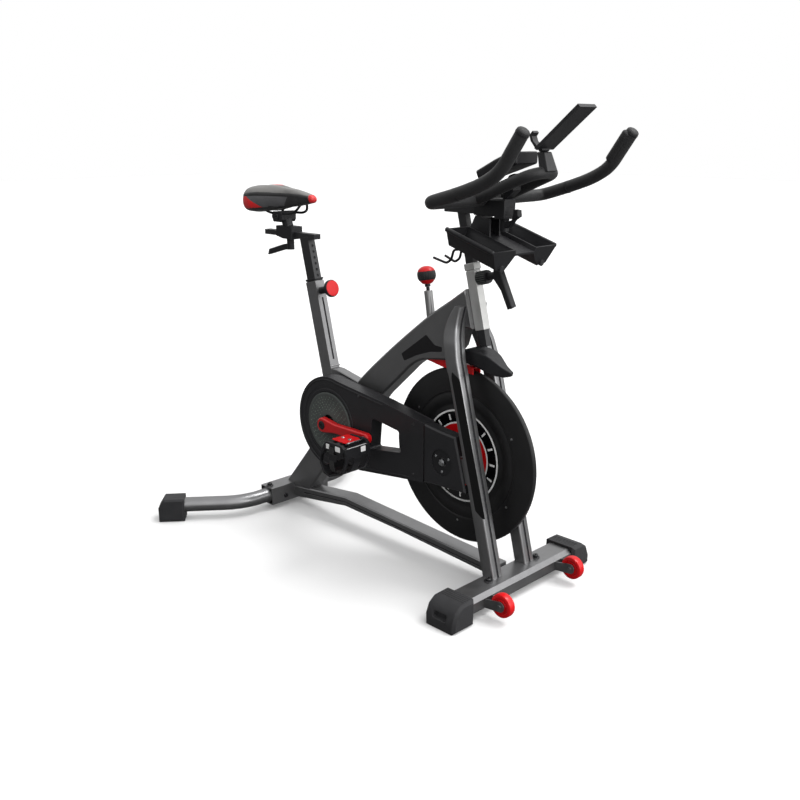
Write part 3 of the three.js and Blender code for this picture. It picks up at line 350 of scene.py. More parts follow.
def tube(name, points, radius, sides=20, ends=0.0):
    """A closed round bar along a list of points; ends above 0 rounds its ends off."""
    path = [Vector(p) for p in points]
    scales = [1] * len(path)
    if ends:
        steps = [math.radians(a) for a in (82, 60, 38, 18)]
        first, last = (path[0] - path[1]).normalized(), (path[-1] - path[-2]).normalized()
        head = [path[0] + first * math.sin(a) * ends for a in steps]
        tail = [path[-1] + last * math.sin(a) * ends for a in reversed(steps)]
        shrink = [math.cos(a) for a in steps]
        path, scales = head + path + tail, shrink + scales + shrink[::-1]
    rings, side = [], None
    for i, at in enumerate(path):
        ahead = (path[min(i + 1, len(path) - 1)] - path[max(i - 1, 0)]).normalized()
        side = ahead.orthogonal() if side is None else side - ahead * side.dot(ahead)
        side.normalize()
        reach = radius * scales[i]
        rings.append([place(*(at + out * reach)) for out in spokes(side, ahead.cross(side), sides)])
    return smooth(skin(name, rings), 40)


def lathe(name, centre, profile, segments=96, axis=Y, angle=32):
    """Turns (radius, distance along the axis) points round an axis; a profile may end where it starts."""
    centre, axis = Vector(centre), axis.normalized()
    u = axis.orthogonal().normalized()
    around = spokes(u, axis.cross(u), segments)
    joined = profile[0] == profile[-1]
    rings = []
    for r, h in profile[:-1] if joined else profile:
        rings.append([place(*(centre + axis * h + out * r)) for out in (around if r else around[:1])])
    return smooth(skin(name, rings, joined), angle)


def cylinder(name, centre, axis, radius, low, high, segments):
    return lathe(name, centre, [(0, low), (radius, low), (radius, high), (0, high)], segments, axis)


def prism(name, outline, y0, y1, plane="xz"):
    """An outline as a closed plate. plane says what its two numbers run along."""
    order = {"xz": (0, 2, 1), "xy": (0, 1, 2), "yz": (2, 0, 1)}[plane]
    return skin(name, [[place(*((a, b, t)[k] for k in order)) for a, b in outline] for t in (y0, y1)])


def round_corners(points, corner, steps, slack):
    """Each inner point of a path as a round corner; slack keeps neighbouring corners apart."""
    out = []
    for before, here, after in zip(points, points[1:], points[2:]):
        back, ahead = before - here, after - here
        reach = min(corner, back.length / slack, ahead.length / slack)
        a, b = here + back.normalized() * reach, here + ahead.normalized() * reach
        for i in range(steps + 1):
            t = i / steps
            out.append(a * (1 - t) ** 2 + here * 2 * t * (1 - t) + b * t * t)
    return out


def rounded_path(points, corner, steps=8):
    """Straight stretches joined by round corners."""
    at = [Vector(p) for p in points]
    return [at[0]] + round_corners(at, corner, steps, 2.1) + [at[-1]]


def rounded_outline(points, radius, steps=6):
    """A closed outline of (a, b) points with round corners."""
    at = [Vector((*p, 0)) for p in points]
    return [(p.x, p.y) for p in round_corners([at[-1]] + at + [at[0]], radius, steps, 2.2)]


def box_outline(a0, a1, b0, b1, radius):
    return rounded_outline([(a0, b0), (a1, b0), (a1, b1), (a0, b1)], radius)


def mirrored(points):
    return [Vector((p[0], -p[1], p[2])) for p in reversed(points)]


def span(side, a, b):
    """Two distances from the middle plane on one side of it, lower first."""
    return sorted((side * a, side * b))


def on_post(pivot, z, ahead=0.0, y=0.0):
    """A point at a height on a leaning post's axis, a distance ahead of it."""
    px, pz = pivot
    return Vector((px - (z - pz) * math.tan(LEAN), y, z)) + POST_FRONT * ahead


# ---------------- pieces

def finish_piece(obj, body, material=None, node=None):
    """Puts a made object on its body, with the given material; it may stand for a CAD node."""
    if material is not None:
        obj.data.materials.append(material)
    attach(obj, body)
    if node:
        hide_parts(node)


def copied(node):
    """The CAD node's mesh as a new object, with the triangles of each flat face joined."""
    bm = bmesh.new()
    bm.from_mesh(frame["nodes"][node].data)
    bmesh.ops.remove_doubles(bm, verts=bm.verts, dist=1e-5)
    bmesh.ops.dissolve_limit(
        bm, angle_limit=math.radians(0.6), use_dissolve_boundaries=False, verts=bm.verts, edges=bm.edges,
    )
    return object_from(bm, node + "_skin")


def dress(node, material, width, segments=3, angle=35):
    """A CAD node's own shape with rounded edges and a real material, in place of the node."""
    finish_piece(round_edges(copied(node), width, segments, angle), BODY_OF[node], material, node)


def bar(name, body, material, points, radius, sides=20, ends=0.0, node=None):
    finish_piece(tube(name, points, radius, sides, ends), body, material, node)


def turned(name, body, material, centre, profile, segments=96, axis=Y, angle=32, node=None):
    finish_piece(lathe(name, centre, profile, segments, axis, angle), body, material, node)


def plate(name, body, material, outline, y0, y1, width, segments=3, plane="xz"):
    finish_piece(round_edges(prism(name, outline, y0, y1, plane), width, segments), body, material)


def ring_plate(name, body, material, r0, r1, y0, y1, node=None):
    """A flat ring round the flywheel's axle."""
    profile = [(r0, y0), (r1, y0), (r1, y1), (r0, y1), (r0, y0)]
    turned(name, body, material, HUB_AXLE, profile, 128, node=node)


def screw(name, body, centre, axis, radius, height, material=STEEL):
    """A round-head screw with a socket."""
    socket = height * 0.45
    profile = [(0, socket), (radius * 0.42, socket), (radius * 0.46, height), (radius * 0.82, height)]
    profile += [(radius, height * 0.7), (radius, -0.2), (0, -0.2)]
    turned(name, body, material, centre, profile, 30, axis, 30)


def flatten(obj):
    """Applies every modifier of an object."""
    graph = bpy.context.evaluated_depsgraph_get()
    shape = obj.evaluated_get(graph)
    mesh = bpy.data.meshes.new_from_object(shape, preserve_all_data_layers=True, depsgraph=graph)
    obj.modifiers.clear()
    old = obj.data
    obj.data = mesh
    bpy.data.meshes.remove(old)


def carve(obj, material, tools):
    """Cuts tools out of a piece; the cut faces take the material."""
    for tool in tools:
        tool.data.materials.append(material)
        modifier = obj.modifiers.new("carve", "BOOLEAN")
        modifier.operation = "DIFFERENCE"
        modifier.object = tool
        modifier.solver = "EXACT"
        modifier.material_mode = "TRANSFER"
    flatten(obj)
    for tool in tools:
        bpy.data.objects.remove(tool)


def carved(node, material, tools, width, tool_material=GROOVE_SHADE):
    """A CAD node's shape with grooves or holes cut in it and its edges rounded. Unless told otherwise, the
    cut faces take the dark groove colour, which paints shade inside the cuts.
    """
    made = copied(node)
    made.data.materials.append(material)
    carve(made, tool_material, tools)
    finish_piece(round_edges(made, width, 2), BODY_OF[node], node=node)


# ---------------- welded frame

SEAT_PIVOT = (-173, 562)
HEAD_PIVOT = (384, 748)
SEAT_TUBE_HALF = 21
LEG_STATIONS = [
    # rear x, rear z, front x, front z, how far the leg has closed in on the beam
    (494.5, 58.3, 530.5, 58.3, 0), (437, 285, 473.5, 285, 0), (380.5, 510, 417, 510, 0),
    (369, 545, 407.5, 548, 0), (358, 580, 398, 575, 3), (349, 606, 390, 606, 8), (343, 628, 382.5, 628, 15),
    (344.5, 650, 379, 648, 21), (351, 672, 380, 672, 26), (363, 694, 383, 694, 30),
]
LEG_HALF = 18
LEG_CORNER = 5
LEG_MIDDLE = LEG_OUTER - LEG_HALF
BEAM_PANEL = [(251, 606), (165, 544), (175, 527), (219, 549), (265, 565), (304, 571), (304, 583), (281, 584)]
LEG_BAND = [(387, 546), (411, 532), (417, 512), (500, 205), (489, 206), (469, 219), (386, 530)]


def between(a, b, c, d, t):
    """A Catmull-Rom curve's value at a share t of the way from b to c."""
    square, cube = 2 * a - 5 * b + 4 * c - d, 3 * b - a - 3 * c + d
    return 0.5 * (2 * b + (c - a) * t + square * t ** 2 + cube * t ** 3)


def spline(rows, steps):
    """A smooth curve through rows of numbers."""
    out = []
    padded = rows[:1] + rows + rows[-1:]
    for four in zip(padded, padded[1:], padded[2:], padded[3:]):
        out += [[between(*values, i / steps) for values in zip(*four)] for i in range(steps)]
    return out + rows[-1:]


def leg_section():
    """A box with round corners and a grooved front: (across, share to the front, shift, in the groove)."""
    points = []
    for sign, front, start in ((1, 0, 270), (1, 1, 0), (-1, 1, 90), (-1, 0, 180)):
        for k in range(5):
            a = math.radians(start + 90 * k / 4)
            across = sign * (LEG_HALF - LEG_CORNER) + LEG_CORNER * math.cos(a)
            shift = LEG_CORNER * (math.sin(a) + (-1 if front else 1))
            points.append((across, front, shift, False))
        if (sign, front) == (1, 1):
            points += [(3.6, 1, 0, True), (2.8, 1, -2.4, True), (-2.8, 1, -2.4, True), (-3.6, 1, 0, False)]
    return points


def fork_leg(side, name):
    """A fork leg: its box section follows the curve from the front foot up to the head."""
    section = leg_section()
    rings = []
    for rx, rz, fx, fz, inset in spline(LEG_STATIONS, 8):
        rear, front = Vector((rx, 0, rz)), Vector((fx, 0, fz))
        ahead = (front - rear).normalized()
        ring = [(rear.lerp(front, share) + ahead * shift, across) for across, share, shift, _ in section]
        rings.append([place(p.x, side * (LEG_MIDDLE - inset + across), p.z) for p, across in ring])
    # The faces of the groove down the leg's front take the dark groove colour: painted shade in the groove.
    grooved = [k for k, point in enumerate(section) if point[3]]
    leg = smooth(skin("fork_leg_%s_tube" % name, rings, stripes=grooved), 40)
    leg.data.materials.append(CHARCOAL)
    finish_piece(leg, "frame", GROOVE_SHADE, "fork_leg_" + name)
    y0, y1 = (46, 51) if side > 0 else (-73, -68)
    shape = [
        (HUB.x - 16, HUB.z - 16), (HUB.x + 12, HUB.z - 20), (445, HUB.z - 42), (432, HUB.z + 22),
        (HUB.x + 12, HUB.z + 20), (HUB.x - 16, HUB.z + 16),
    ]
    plate("dropout_" + name, "frame", CHARCOAL, rounded_outline(shape, 9), y0, y1, 0.8)


def seat_tube_groove():
    """A tool that cuts a groove down the front of the seat tube."""
    near, far = SEAT_TUBE_HALF - 2, SEAT_TUBE_HALF + 6
    corners = ((near, -3), (far, -3), (far, 3), (near, 3))
    rings = [[place(*on_post(SEAT_PIVOT, z, ahead, y)) for ahead, y in corners] for z in (470, 640)]
    return skin("seat_groove", rings)


def welded_frame():
    # The faces of the groove down the seat tube's front take the dark groove colour: painted shade.
    carved("main_frame", CHARCOAL, [seat_tube_groove()], 2.2)
    for side, name in SIDES:
        fork_leg(side, name)
    dress("head_tube", SILVER, 1.2)
    dress("head_collar", SILVER, 1.0)
    dress("seat_bushing", BLACK, 0.8)
    for side, name in SIDES:
        y0, y1 = side * (BEAM_HALF - 0.5), side * (BEAM_HALF + 0.9)
        plate("beam_panel_" + name, "frame", PANEL, rounded_outline(BEAM_PANEL, 3, 4), y0, y1, 0.6)
    outer = -LEG_OUTER
    plate("leg_band", "frame", DECAL, rounded_outline(LEG_BAND, 4, 4), outer - 0.5, outer + 0.3, 0.2, 1)
    weld("weld_seat_tube", [on_post(SEAT_PIVOT, 452, 22, y) for y in (-16, -8, 0, 8, 16)])


def weld(name, points, radius=2.2):
    bead = [a.lerp(b, i / 6) for a, b in zip(points, points[1:]) for i in range(6)]
    bar(name, "frame", CHARCOAL, bead + [points[-1]], radius, 10, radius)


# ---------------- base

REAR_LEG = [(-323, 70, 42), (-323, 190, 42), (-457, 355, 42)]
RAIL_LINE = [(-250, 45), (-64, 68.5), (440, 43.5)]
LINE_WIDTH = 3
BOLT_HEAD = [
    (0, 4.5), (3, 4.5), (3.3, 8.7), (6.2, 8.7), (7, 7.8), (7, 2), (10.4, 2), (11, 1.3), (11, 0), (0, 0),
]


def base():
    upper = [(x, z + LINE_WIDTH) for x, z in reversed(RAIL_LINE)]
    depths = [span(side, BEAM_HALF - 1.2, BEAM_HALF + 4) for side, _ in SIDES]
    lines = [prism("line", RAIL_LINE + upper, y0, y1) for y0, y1 in depths]
    # The lines along the rail's sides are shallow grooves whose faces take the dark groove colour: painted
    # shade.
    carved("base_rail", CHARCOAL, lines, 2.4)
    for side, name in SIDES:
        path = rounded_path([(x, side * y, z) for x, y, z in REAR_LEG], 90, 24)
        bar("rear_leg_%s_tube" % name, "frame", CHARCOAL, path, 21, 40, node="rear_leg_" + name)
        collar = [(-323, side * y, 42) for y in (107, 109.5)]
        bar("rear_leg_%s_collar" % name, "frame", CHARCOAL, collar, 23.5, 40)
        dress("foot_cap_rear_" + name, RUBBER, 3.2)
        foot = centre_of("foot_cap_front_" + name)
        slot = prism("slot", box_outline(foot.x - 20, foot.x + 20, 24, 40, 6), *span(side, 252, 280))
        carved("foot_cap_front_" + name, RUBBER, [slot], 2.2, RUBBER)
        for node in ("bolt_front_" + name, "bolt_rear_" + name):
            at = centre_of(node)
            foot_of_head = (at.x, at.y, drawn(node)[0].z)
            turned(node + "_turned", "frame", DARK_STEEL, foot_of_head, BOLT_HEAD, 48, Z, 30, node)
        tread(side, name)
    dress("front_stabilizer", CHARCOAL, 1.0, 2)
    screw("socket_bolt", "frame", (-296, -58, 35), X, 7, 4, BLACK)


def tread(side, name):
    """Shallow ribs across the top of a front foot."""
    lo, hi = drawn("foot_cap_front_" + name)
    for k in range(4):
        rib = [(x, side * (200 + k * 7), hi.z - 0.8) for x in (lo.x + 10, hi.x - 10)]
        bar("foot_rib_%s_%d" % (name, k), "frame", RUBBER, rib, 1.3, 10, 1.3)


def transport_wheels():
    bore = 5.6
    for side, name in SIDES:
        node = "transport_wheel_" + name
        at, (lo, hi) = centre_of(node), drawn(node)
        w, r = (hi.y - lo.y) / 2, (hi.z - lo.z) / 2
        half = [(bore, -w + 1), (14, -w + 1), (15, -w + 3), (20, -w + 3), (21, -w), (r - 4, -w)]
        half += [(r - 1, -w + 1.4), (r, -w + 4.5)]
        profile = half + [(a, -h) for a, h in reversed(half)] + half[:1]
        turned(node + "_turned", BODY_OF[node], RED_PLASTIC, at, profile, 72, node=node)
        for end, where in ((-side, "in"), (side, "out")):
            inner, outer = end * (w - 0.9), end * (w - 0.1)
            ring = [(bore, inner), (11.5, inner), (11, outer), (bore, outer), (bore, inner)]
            turned("%s_hub_%s" % (node, where), BODY_OF[node], BLACK, at, ring, 40)


# ---------------- flywheel and drive

WHEEL = "flywheel_assembly"
BADGE_RADIUS = (drawn("flywheel_badge_right")[1].z - drawn("flywheel_badge_right")[0].z) / 2
SCREW_CIRCLE = 175
DASH_COUNT = 16
DASH_CIRCLE = 100.5
DASH_SIZE = (15, 0.6, 5)
FLYWHEEL_HUB = [
    (6.5, -66), (13, -66), (14, -65), (14, -64.4), (31, -64.4), (31, -63.2), (28, -63), (28, -49),
    (31, -48.8), (31, -47.6), (14, -47.6), (14, -14), (29, -13), (30, -12), (30, -7.4), (17.5, -7.4),
    (17.5, 7.4), (28, 7.4), (29.5, 9), (29.5, 11.5), (14, 12.5), (14, 43), (13, 44), (6.5, 44), (6.5, -66),
]


def flywheel():
    rim, h = FLYWHEEL_RADIUS, FLYWHEEL_HALF
    face = [
        (18, h - 0.6), (124, h - 0.6), (128, h - 2.2), (134, h - 2.2), (138, h - 0.3), (157, h - 0.3),
        (159.5, h - 1.8), (162.5, h - 1.8), (165, h), (rim - 7, h), (rim - 5, h - 0.8), (rim - 2, h - 0.8),
        (rim, h - 2.6),
    ]
    profile = face + [(r, -y) for r, y in reversed(face)] + face[:1]
    turned("flywheel_disc", WHEEL, IRON, HUB_AXLE, profile, 160, node="flywheel")
    for side, name in SIDES:
        badge(side, name)
        for k, out in enumerate(spokes(X, Z, 6, 27)):
            centre = Vector((HUB.x, side * h, HUB.z)) + out * SCREW_CIRCLE
            screw("balance_screw_%s_%d" % (name, k), WHEEL, centre, Y * side, 3, 0.9)
    turned("flywheel_hub_turned", WHEEL, STEEL, HUB_AXLE, FLYWHEEL_HUB, 72, node="flywheel_hub")
    dress("flywheel_axle", STEEL, 0.7, 2)


def badge(side, name):
    """The round plate on the flywheel: rings of white, black and red, with plain dashes and no lettering."""
    h = FLYWHEEL_HALF + 0.3
    lift = side * (h + 1.5)
    low, high = lift - side * 0.3, lift + side * 0.3
    node = "flywheel_badge_" + name
    ring_plate("badge_plate_" + name, WHEEL, GLOSS, 31, BADGE_RADIUS, side * h, lift, node)
    ring_plate("badge_outer_ring_" + name, WHEEL, WHITE, BADGE_RADIUS - 5, BADGE_RADIUS - 0.6, low, high)
    ring_plate("badge_inner_ring_" + name, WHEEL, WHITE, 83, 87, low, high)
    ring_plate("badge_red_disc_" + name, WHEEL, RED_PLASTIC, 34, 83, low, lift + side * 0.25)
    size = Matrix.Diagonal([length * MM for length in DASH_SIZE] + [1])
    bm = bmesh.new()
    for k, out in enumerate(spokes(X, Z, DASH_COUNT)):
        at = Matrix.Translation(place(*(Vector((HUB.x, lift, HUB.z)) + out * DASH_CIRCLE)))
        turn = Matrix.Rotation(-2 * math.pi * k / DASH_COUNT, 4, "Y")
        bmesh.ops.create_cube(bm, size=1, matrix=at @ turn @ size)
    finish_piece(round_edges(object_from(bm, "badge_dashes_" + name), 0.2, 1), WHEEL, WHITE)


def cover_edge(grow=0.0):
    """The belt cover's outline from its top front corner round the crank; grow moves it outward."""
    radius = 129.5 + grow
    start, end = math.pi * 0.42, 2 * math.pi - 0.9
    turns = [start + (end - start) * i / 56 for i in range(57)]
    curve = [(CRANK.x + radius * math.cos(a), CRANK.z + radius * math.sin(a)) for a in turns]
    return [(150, 423 + grow), (27, 438 + grow)] + curve + [(62, 214 - grow), (243, 237 - grow)]


COVER_OUTLINE = [(296, 243), (296, 398)] + cover_edge()
COVER_BACK = -44
WINDOW = rounded_outline([(111, 372), (211, 358), (218, 302), (102, 285)], 9)
WINDOW_OUTER = rounded_outline([(109, 375), (214, 361), (221, 300), (99, 281)], 11)
COVER_SCREWS = ((262, 388), (262, 256), (60, 419), (95, 236))
CAP_PROFILE = [
    (24, 1), (86.5, 1), (86.5, -1.6), (84.5, -2.8), (80, -3), (78, -2.2), (34, -2.2), (32, -3), (24, -3),
    (24, 1),
]


def cover_half(name, node, y0, y1, tools, width, segments):
    """One half of the belt cover, cut open by its tools."""
    shell = prism(name, COVER_OUTLINE, y0, y1)
    shell.data.materials.append(COVER)
    carve(shell, COVER, tools)
    finish_piece(round_edges(shell, width, segments, 40), "frame", node=node)


def drive():
    """Covers, cap, pulley and belt."""
    pocket = prism("pocket", cover_edge(-3) + [(292, 245), (292, 395)], COVER_FACE + 3, -30)
    seat = cylinder("cap_seat", CRANK_AXLE, Y, 88.2, -90, -70, 96)
    lane_floor = COVER_FACE + 1.2
    lane_profile = [(96, -90), (104, -90), (104, lane_floor), (96, lane_floor), (96, -90)]
    tools = [pocket, prism("window_hole", WINDOW, -100, 0), seat, lathe("lane", CRANK_AXLE, lane_profile)]
    cover_half("belt_cover_outer_shell", "belt_cover_outer", COVER_FACE, COVER_BACK, tools, 3.2, 4)
    front, back = COVER_FACE + 1, COVER_BACK - 0.2
    walls = [(WINDOW_OUTER, front), (WINDOW_OUTER, back), (WINDOW, back), (WINDOW, front)]
    wall = skin("cover_window_wall", [[place(x, y, z) for x, z in line] for line, y in walls], joined=True)
    finish_piece(smooth(wall, 35), "frame", COVER)

    bore = cylinder("bore", CRANK_AXLE, Y, 30, -60, -20, 64)
    tools = [prism("window_hole", WINDOW, -100, 0), bore]
    cover_half("belt_cover_inner_shell", "belt_cover_inner", -43.7, -40, tools, 1.2, 2)
    dress("hub_cover", COVER, 2.6)
    ring_plate("hub_opening_plate", "frame", BLACK, 12, 36, COVER_FACE + 4, COVER_FACE + 2.6)
    for k, out in enumerate(spokes(X, Z, 3, 30)):
        centre = Vector((HUB.x, COVER_FACE + 2.8, HUB.z)) + out * 24
        screw("hub_opening_screw_%d" % k, "frame", centre, -Y, 3.6, 1.6)

    # A raised lip follows the cover's edge.
    rim = [(x, COVER_FACE + 0.2, z) for x, z in cover_edge(-8)]
    bar("cover_lip", "frame", COVER, rim, 2.0, 12, 2.0)
    for k, (x, z) in enumerate(COVER_SCREWS):
        screw("cover_screw_%d" % k, "frame", (x, COVER_FACE + 0.4, z), -Y, 4, 1.6, DARK_STEEL)
    crank_cap()
    dress("drive_pulley", BLACK, 0.5, 1)
    dress("drive_belt", BELT, 0.4, 1)


def crank_cap():
    """The round grey cap, with staggered rings of raised dots in four sizes."""
    face = (CRANK.x, COVER_FACE, CRANK.z)
    turned("crank_cap_turned", "frame", CAP_GREY, face, CAP_PROFILE, 128, node="crank_cap")
    bm = bmesh.new()
    for ring in range(6):
        radius = 39 + ring * 7
        count = int(radius * 0.55)
        for k in range(count):
            a = 2 * math.pi * (k + 0.5 * (ring % 2)) / count
            at = place(CRANK.x + radius * math.cos(a), COVER_FACE - 2.3, CRANK.z + radius * math.sin(a))
            size = (0.9 + 0.5 * ((k * 7 + ring * 3) % 4) / 3) * MM
            bmesh.ops.create_cone(
                bm, cap_ends=True, segments=8, radius1=size, radius2=size * 0.7, depth=0.7 * MM,
                matrix=Matrix.Translation(at) @ Matrix.Rotation(math.pi / 2, 4, "X"),
            )
    finish_piece(object_from(bm, "crank_cap_dots"), "frame", DOT_GREY)


# ---------------- cranks and pedals

BOLT_COVER = [(0, 1.2), (5, 1.2), (5.6, 3.2), (9.6, 3.2), (11.5, 2), (11.7, 0), (0, 0)]
STRAP_LOOP = [(119.5, 2), (119.5, -52), (130, -70), (204, -70), (214.5, -52), (214.5, 2)]
STRAP_HALF_WIDTH = 9
STRAP_HALF_THICK = 0.8


def cranks():
    for hand, side in (("right", -1), ("left", 1)):
        arm = "crank_arm_" + hand
        dress(arm, RED_PAINT, 3.4, 4, 30)
        end = (CRANK.x, side * 107.2, CRANK.z)
        turned("crank_bolt_" + hand, BODY_OF[arm], BLACK, end, BOLT_COVER, 48, Y * side, 30)
        pedal(hand, side, CRANK.x - side * CRANK_LENGTH, CRANK.z)
        dress("pedal_axle_" + hand, STEEL, 0.6, 2)
    dress("crank_spindle", STEEL, 0.8, 2)


def pedal(hand, side, x, z):
    """A pedal's body and cage with its clip plate, reflectors, strap and buckle."""
    body = BODY_OF["pedal_body_" + hand]
    dress("pedal_body_" + hand, BLACK, 1.6, 2)
    dress("toe_cage_" + hand, BLACK, 1.4, 2)
    y0, y1 = span(side, 140, 194)
    outline = [(x - 28, y0), (x + 18, y0), (x + 29, y0 + 8), (x + 29, y1 - 8), (x + 18, y1), (x - 28, y1)]
    clip = rounded_outline(outline, 4)
    plate("pedal_clip_plate_" + hand, body, RED_PLASTIC, clip, z + 12.6, z + 15.4, 0.8, plane="xy")
    for k, dx in enumerate((-14, 12)):
        screw("pedal_clip_screw_%s_%d" % (hand, k), body, (x + dx, side * 168, z + 15.3), Z, 5, 2.2)
    low, high = y0 + 3, y1 - 3
    path = [(x + 24, low, z + 10), (x + 31, low, z + 15), (x + 31, high, z + 15), (x + 24, high, z + 10)]
    bar("pedal_clip_bar_" + hand, body, STEEL, rounded_path(path, 5), 1.8, 12, 1.8)
    face = box_outline(side * 134, side * 200, z - 4.5, z + 4.5, 2)
    for k, end in enumerate((-1, 1)):
        name = "pedal_reflector_%s_%d" % (hand, k)
        plate(name, body, WHITE, face, x + end * 36.6, x + end * 38, 0.4, 1, "yz")
    for k, (x0, x1) in enumerate(((-29, -17), (6, 24))):
        mark = box_outline(x + x0, x + x1, z - 6, z + 7, 1.5)
        name = "pedal_side_reflector_%s_%d" % (hand, k)
        plate(name, body, WHITE, mark, *span(side, 211.5, 212.7), 0.3, 1)
    front = box_outline(side * 142, side * 158, z - 12, z + 2, 2)
    plate("cage_reflector_" + hand, body, WHITE, front, x + 42, x + 43.6, 0.4, 1, "yz")
    strap(hand, side, x - 6, z, body)
    buckle = rounded_outline([(x - 16, z - 34), (x + 12, z - 34), (x + 14, z - 16), (x - 14, z - 16)], 3)
    plate("strap_buckle_" + hand, body, BLACK, buckle, *span(side, 211, 215.5), 1.0)


def strap(hand, side, x, z, body):
    """The webbing strap: a flat band through the pedal and round the cage."""
    path = rounded_path([(0, side * y, z + h) for y, h in STRAP_LOOP], 12, 6)
    w, t = STRAP_HALF_WIDTH, STRAP_HALF_THICK
    rings = []
    for i, p in enumerate(path):
        ahead = (path[min(i + 1, len(path) - 1)] - path[max(i - 1, 0)]).normalized()
        out = Vector((0, ahead.z, -ahead.y))
        corners = ((-w, -t), (w, -t), (w, t), (-w, t))
        rings.append([place(x + dx, p.y + out.y * d, p.z + out.z * d) for dx, d in corners])
    finish_piece(round_edges(skin("pedal_strap_" + hand, rings), 0.35, 1), body, FOAM)


# ---------------- trim and brake

GUIDE_TOP = Vector((233, 0, 711))
GUIDE_FOOT = Vector((264, 0, 517))
GUIDE_AXIS = (GUIDE_TOP - GUIDE_FOOT).normalized()
KNOB_FOOT = 16.3
GUIDE_PROFILE = [(5.5, 0), (9.4, 0), (10.5, -1.2), (10.5, -84), (5.5, -84), (5.5, 0)]
ROD_PROFILE = [(0, -151), (4, -151), (4.5, -150.4), (4.5, 9), (7, 9.6), (7, 15.4), (6.4, 16), (0, 16)]
KNOB_PARTS = (
    ("foot", RED_PLASTIC, [(0, 0), (10, 0), (14.4, 3), (15.8, 5), (20, 9.9), (0, 9.9)]),
    ("grip", FOAM,
     [(0, 10.1), (20.2, 10.1), (22.5, 15), (23.3, 21.4), (22.9, 26.6), (21.7, 31.2), (0, 31.2)]),
    ("crown", RED_PLASTIC,
     [(0, 31.4), (21.4, 31.4), (19.8, 35.3), (16.3, 39.1), (11.7, 41.9), (5.8, 43.6), (0, 44)]),
)
KNOB_RIB = ((14, 21.7), (17.5, 22.5), (21.5, 22.8), (25.5, 22.5), (29, 21.7))


def trim():
    dress("flywheel_fender", BLACK, 3.0, 4)
    node = "brake_guide_tube"
    turned("brake_guide_turned", "frame", GUIDE_GREY, GUIDE_TOP, GUIDE_PROFILE, 56, GUIDE_AXIS, node=node)


def brake():
    turned("brake_rod_turned", "brake", DARK_STEEL, GUIDE_TOP, ROD_PROFILE, 40, GUIDE_AXIS, node="brake_rod")
    base = GUIDE_TOP + GUIDE_AXIS * KNOB_FOOT
    for name, material, profile in KNOB_PARTS:
        node = "resistance_knob" if name == "foot" else None
        turned("knob_" + name, "brake_knob", material, base, profile, 64, GUIDE_AXIS, 40, node)
    for k, out in enumerate(spokes(Y, GUIDE_AXIS.cross(Y), 12)):
        rib = [base + GUIDE_AXIS * h + out * r for h, r in KNOB_RIB]
        bar("knob_rib_%d" % k, "brake_knob", FOAM, rib, 0.9, 8, 0.9)
    dress("magnet_carrier", RED_PLASTIC, 1.4)


# ---------------- seat

PIN_HEIGHT = 658
SLIDER_FRONT = -188
PIN_PARTS = (
    ("seat_pin_turned", DARK_STEEL, 48,
     [(0, 17.8), (4.5, 17.8), (4.5, 21.5), (10, 21.6), (10, 39.4), (8, 40), (8, 46), (13.5, 47), (15, 48.5),
      (15, 61), (0, 61)]),
    ("seat_pin_rim", BLACK, 72,
     [(0, 61), (22, 61), (23.9, 62.4), (23.9, 68), (22.4, 70.6), (20.6, 70.6), (0, 70.6)]),
    ("seat_pin_face", RED_PLASTIC, 72, [(0, 70.4), (21.6, 70.4), (21.2, 71.8), (16, 72.8), (0, 73)]),
)


def post_holes(pivot, heights, ahead, radius, depth, segments):
    """Tools that drill a row of holes in the front of a leaning post."""
    centres = [on_post(pivot, z, ahead) for z in heights]
    return [cylinder("hole", at, POST_FRONT, radius, -depth, 4, segments) for at in centres]


def seat_post():
    # The holes' inner faces take the dark groove colour: painted shade.
    carved("seat_post", SATIN, post_holes(SEAT_PIVOT, range(700, 796, 16), 17.2, 4, 2.5, 24), 0.8)
    rear = drawn("seat_post")[0].x
    face = box_outline(-9, 9, 805, 815, 2)
    for name, x0, x1 in (("rear", rear, rear + 0.6), ("front", SLIDER_FRONT - 0.4, SLIDER_FRONT + 0.6)):
        plate("slider_plug_" + name, "seat_height_post", BLACK, face, x0, x1, 0.1, 1, "yz")


def seat_pin():
    base = on_post(SEAT_PIVOT, PIN_HEIGHT)
    for name, material, segments, profile in PIN_PARTS:
        node = "seat_pin" if name == "seat_pin_turned" else None
        turned(name, "seat_pin_knob", material, base, profile, segments, POST_FRONT, node=node)


# ---------------- saddle

SADDLE = [
    # x, half width, top, underside
    (-192, 8, 914, 902), (-199, 14, 921, 898), (-222, 19, 926, 895), (-255, 22, 930, 892),
    (-300, 28, 934, 887), (-340, 42, 938, 880), (-375, 62, 942, 873), (-405, 76, 942, 868),
    (-430, 75, 939, 867), (-444, 61, 932, 876),
]
SADDLE_RINGS = [
    -193, -196, -201, -208, -218, -232, *range(-248, -375, -18), -390, -404, -418, -430, -438, -443,
]
SECTION = [
    # share of the half width, share of the height below the top
    (0.18, 0.01), (0.4, 0), (0.64, 0.03), (0.82, 0.11), (0.94, 0.26), (0.99, 0.45), (1, 0.64), (0.95, 0.84),
    (0.8, 0.97), (0.5, 1), (0.2, 0.95),
]
RIM_WIDTH, RIM_DROP = 0.97, 0.3
LOBE_CUT = (Vector((-442, 0, 931)), Vector((-59, 0, -90)).normalized())
NOSE_CUT = (Vector((-206, 0, 910)), Vector((1, 0, 0.25)))
BLACK_CUT = (Vector((-292, 0, 910)), Vector((1, 0, -0.6)))
INLAY = (-432, -352)
GREY_PANEL, DARK_PANEL, BLACK_PANEL, RED_PANEL = range(4)


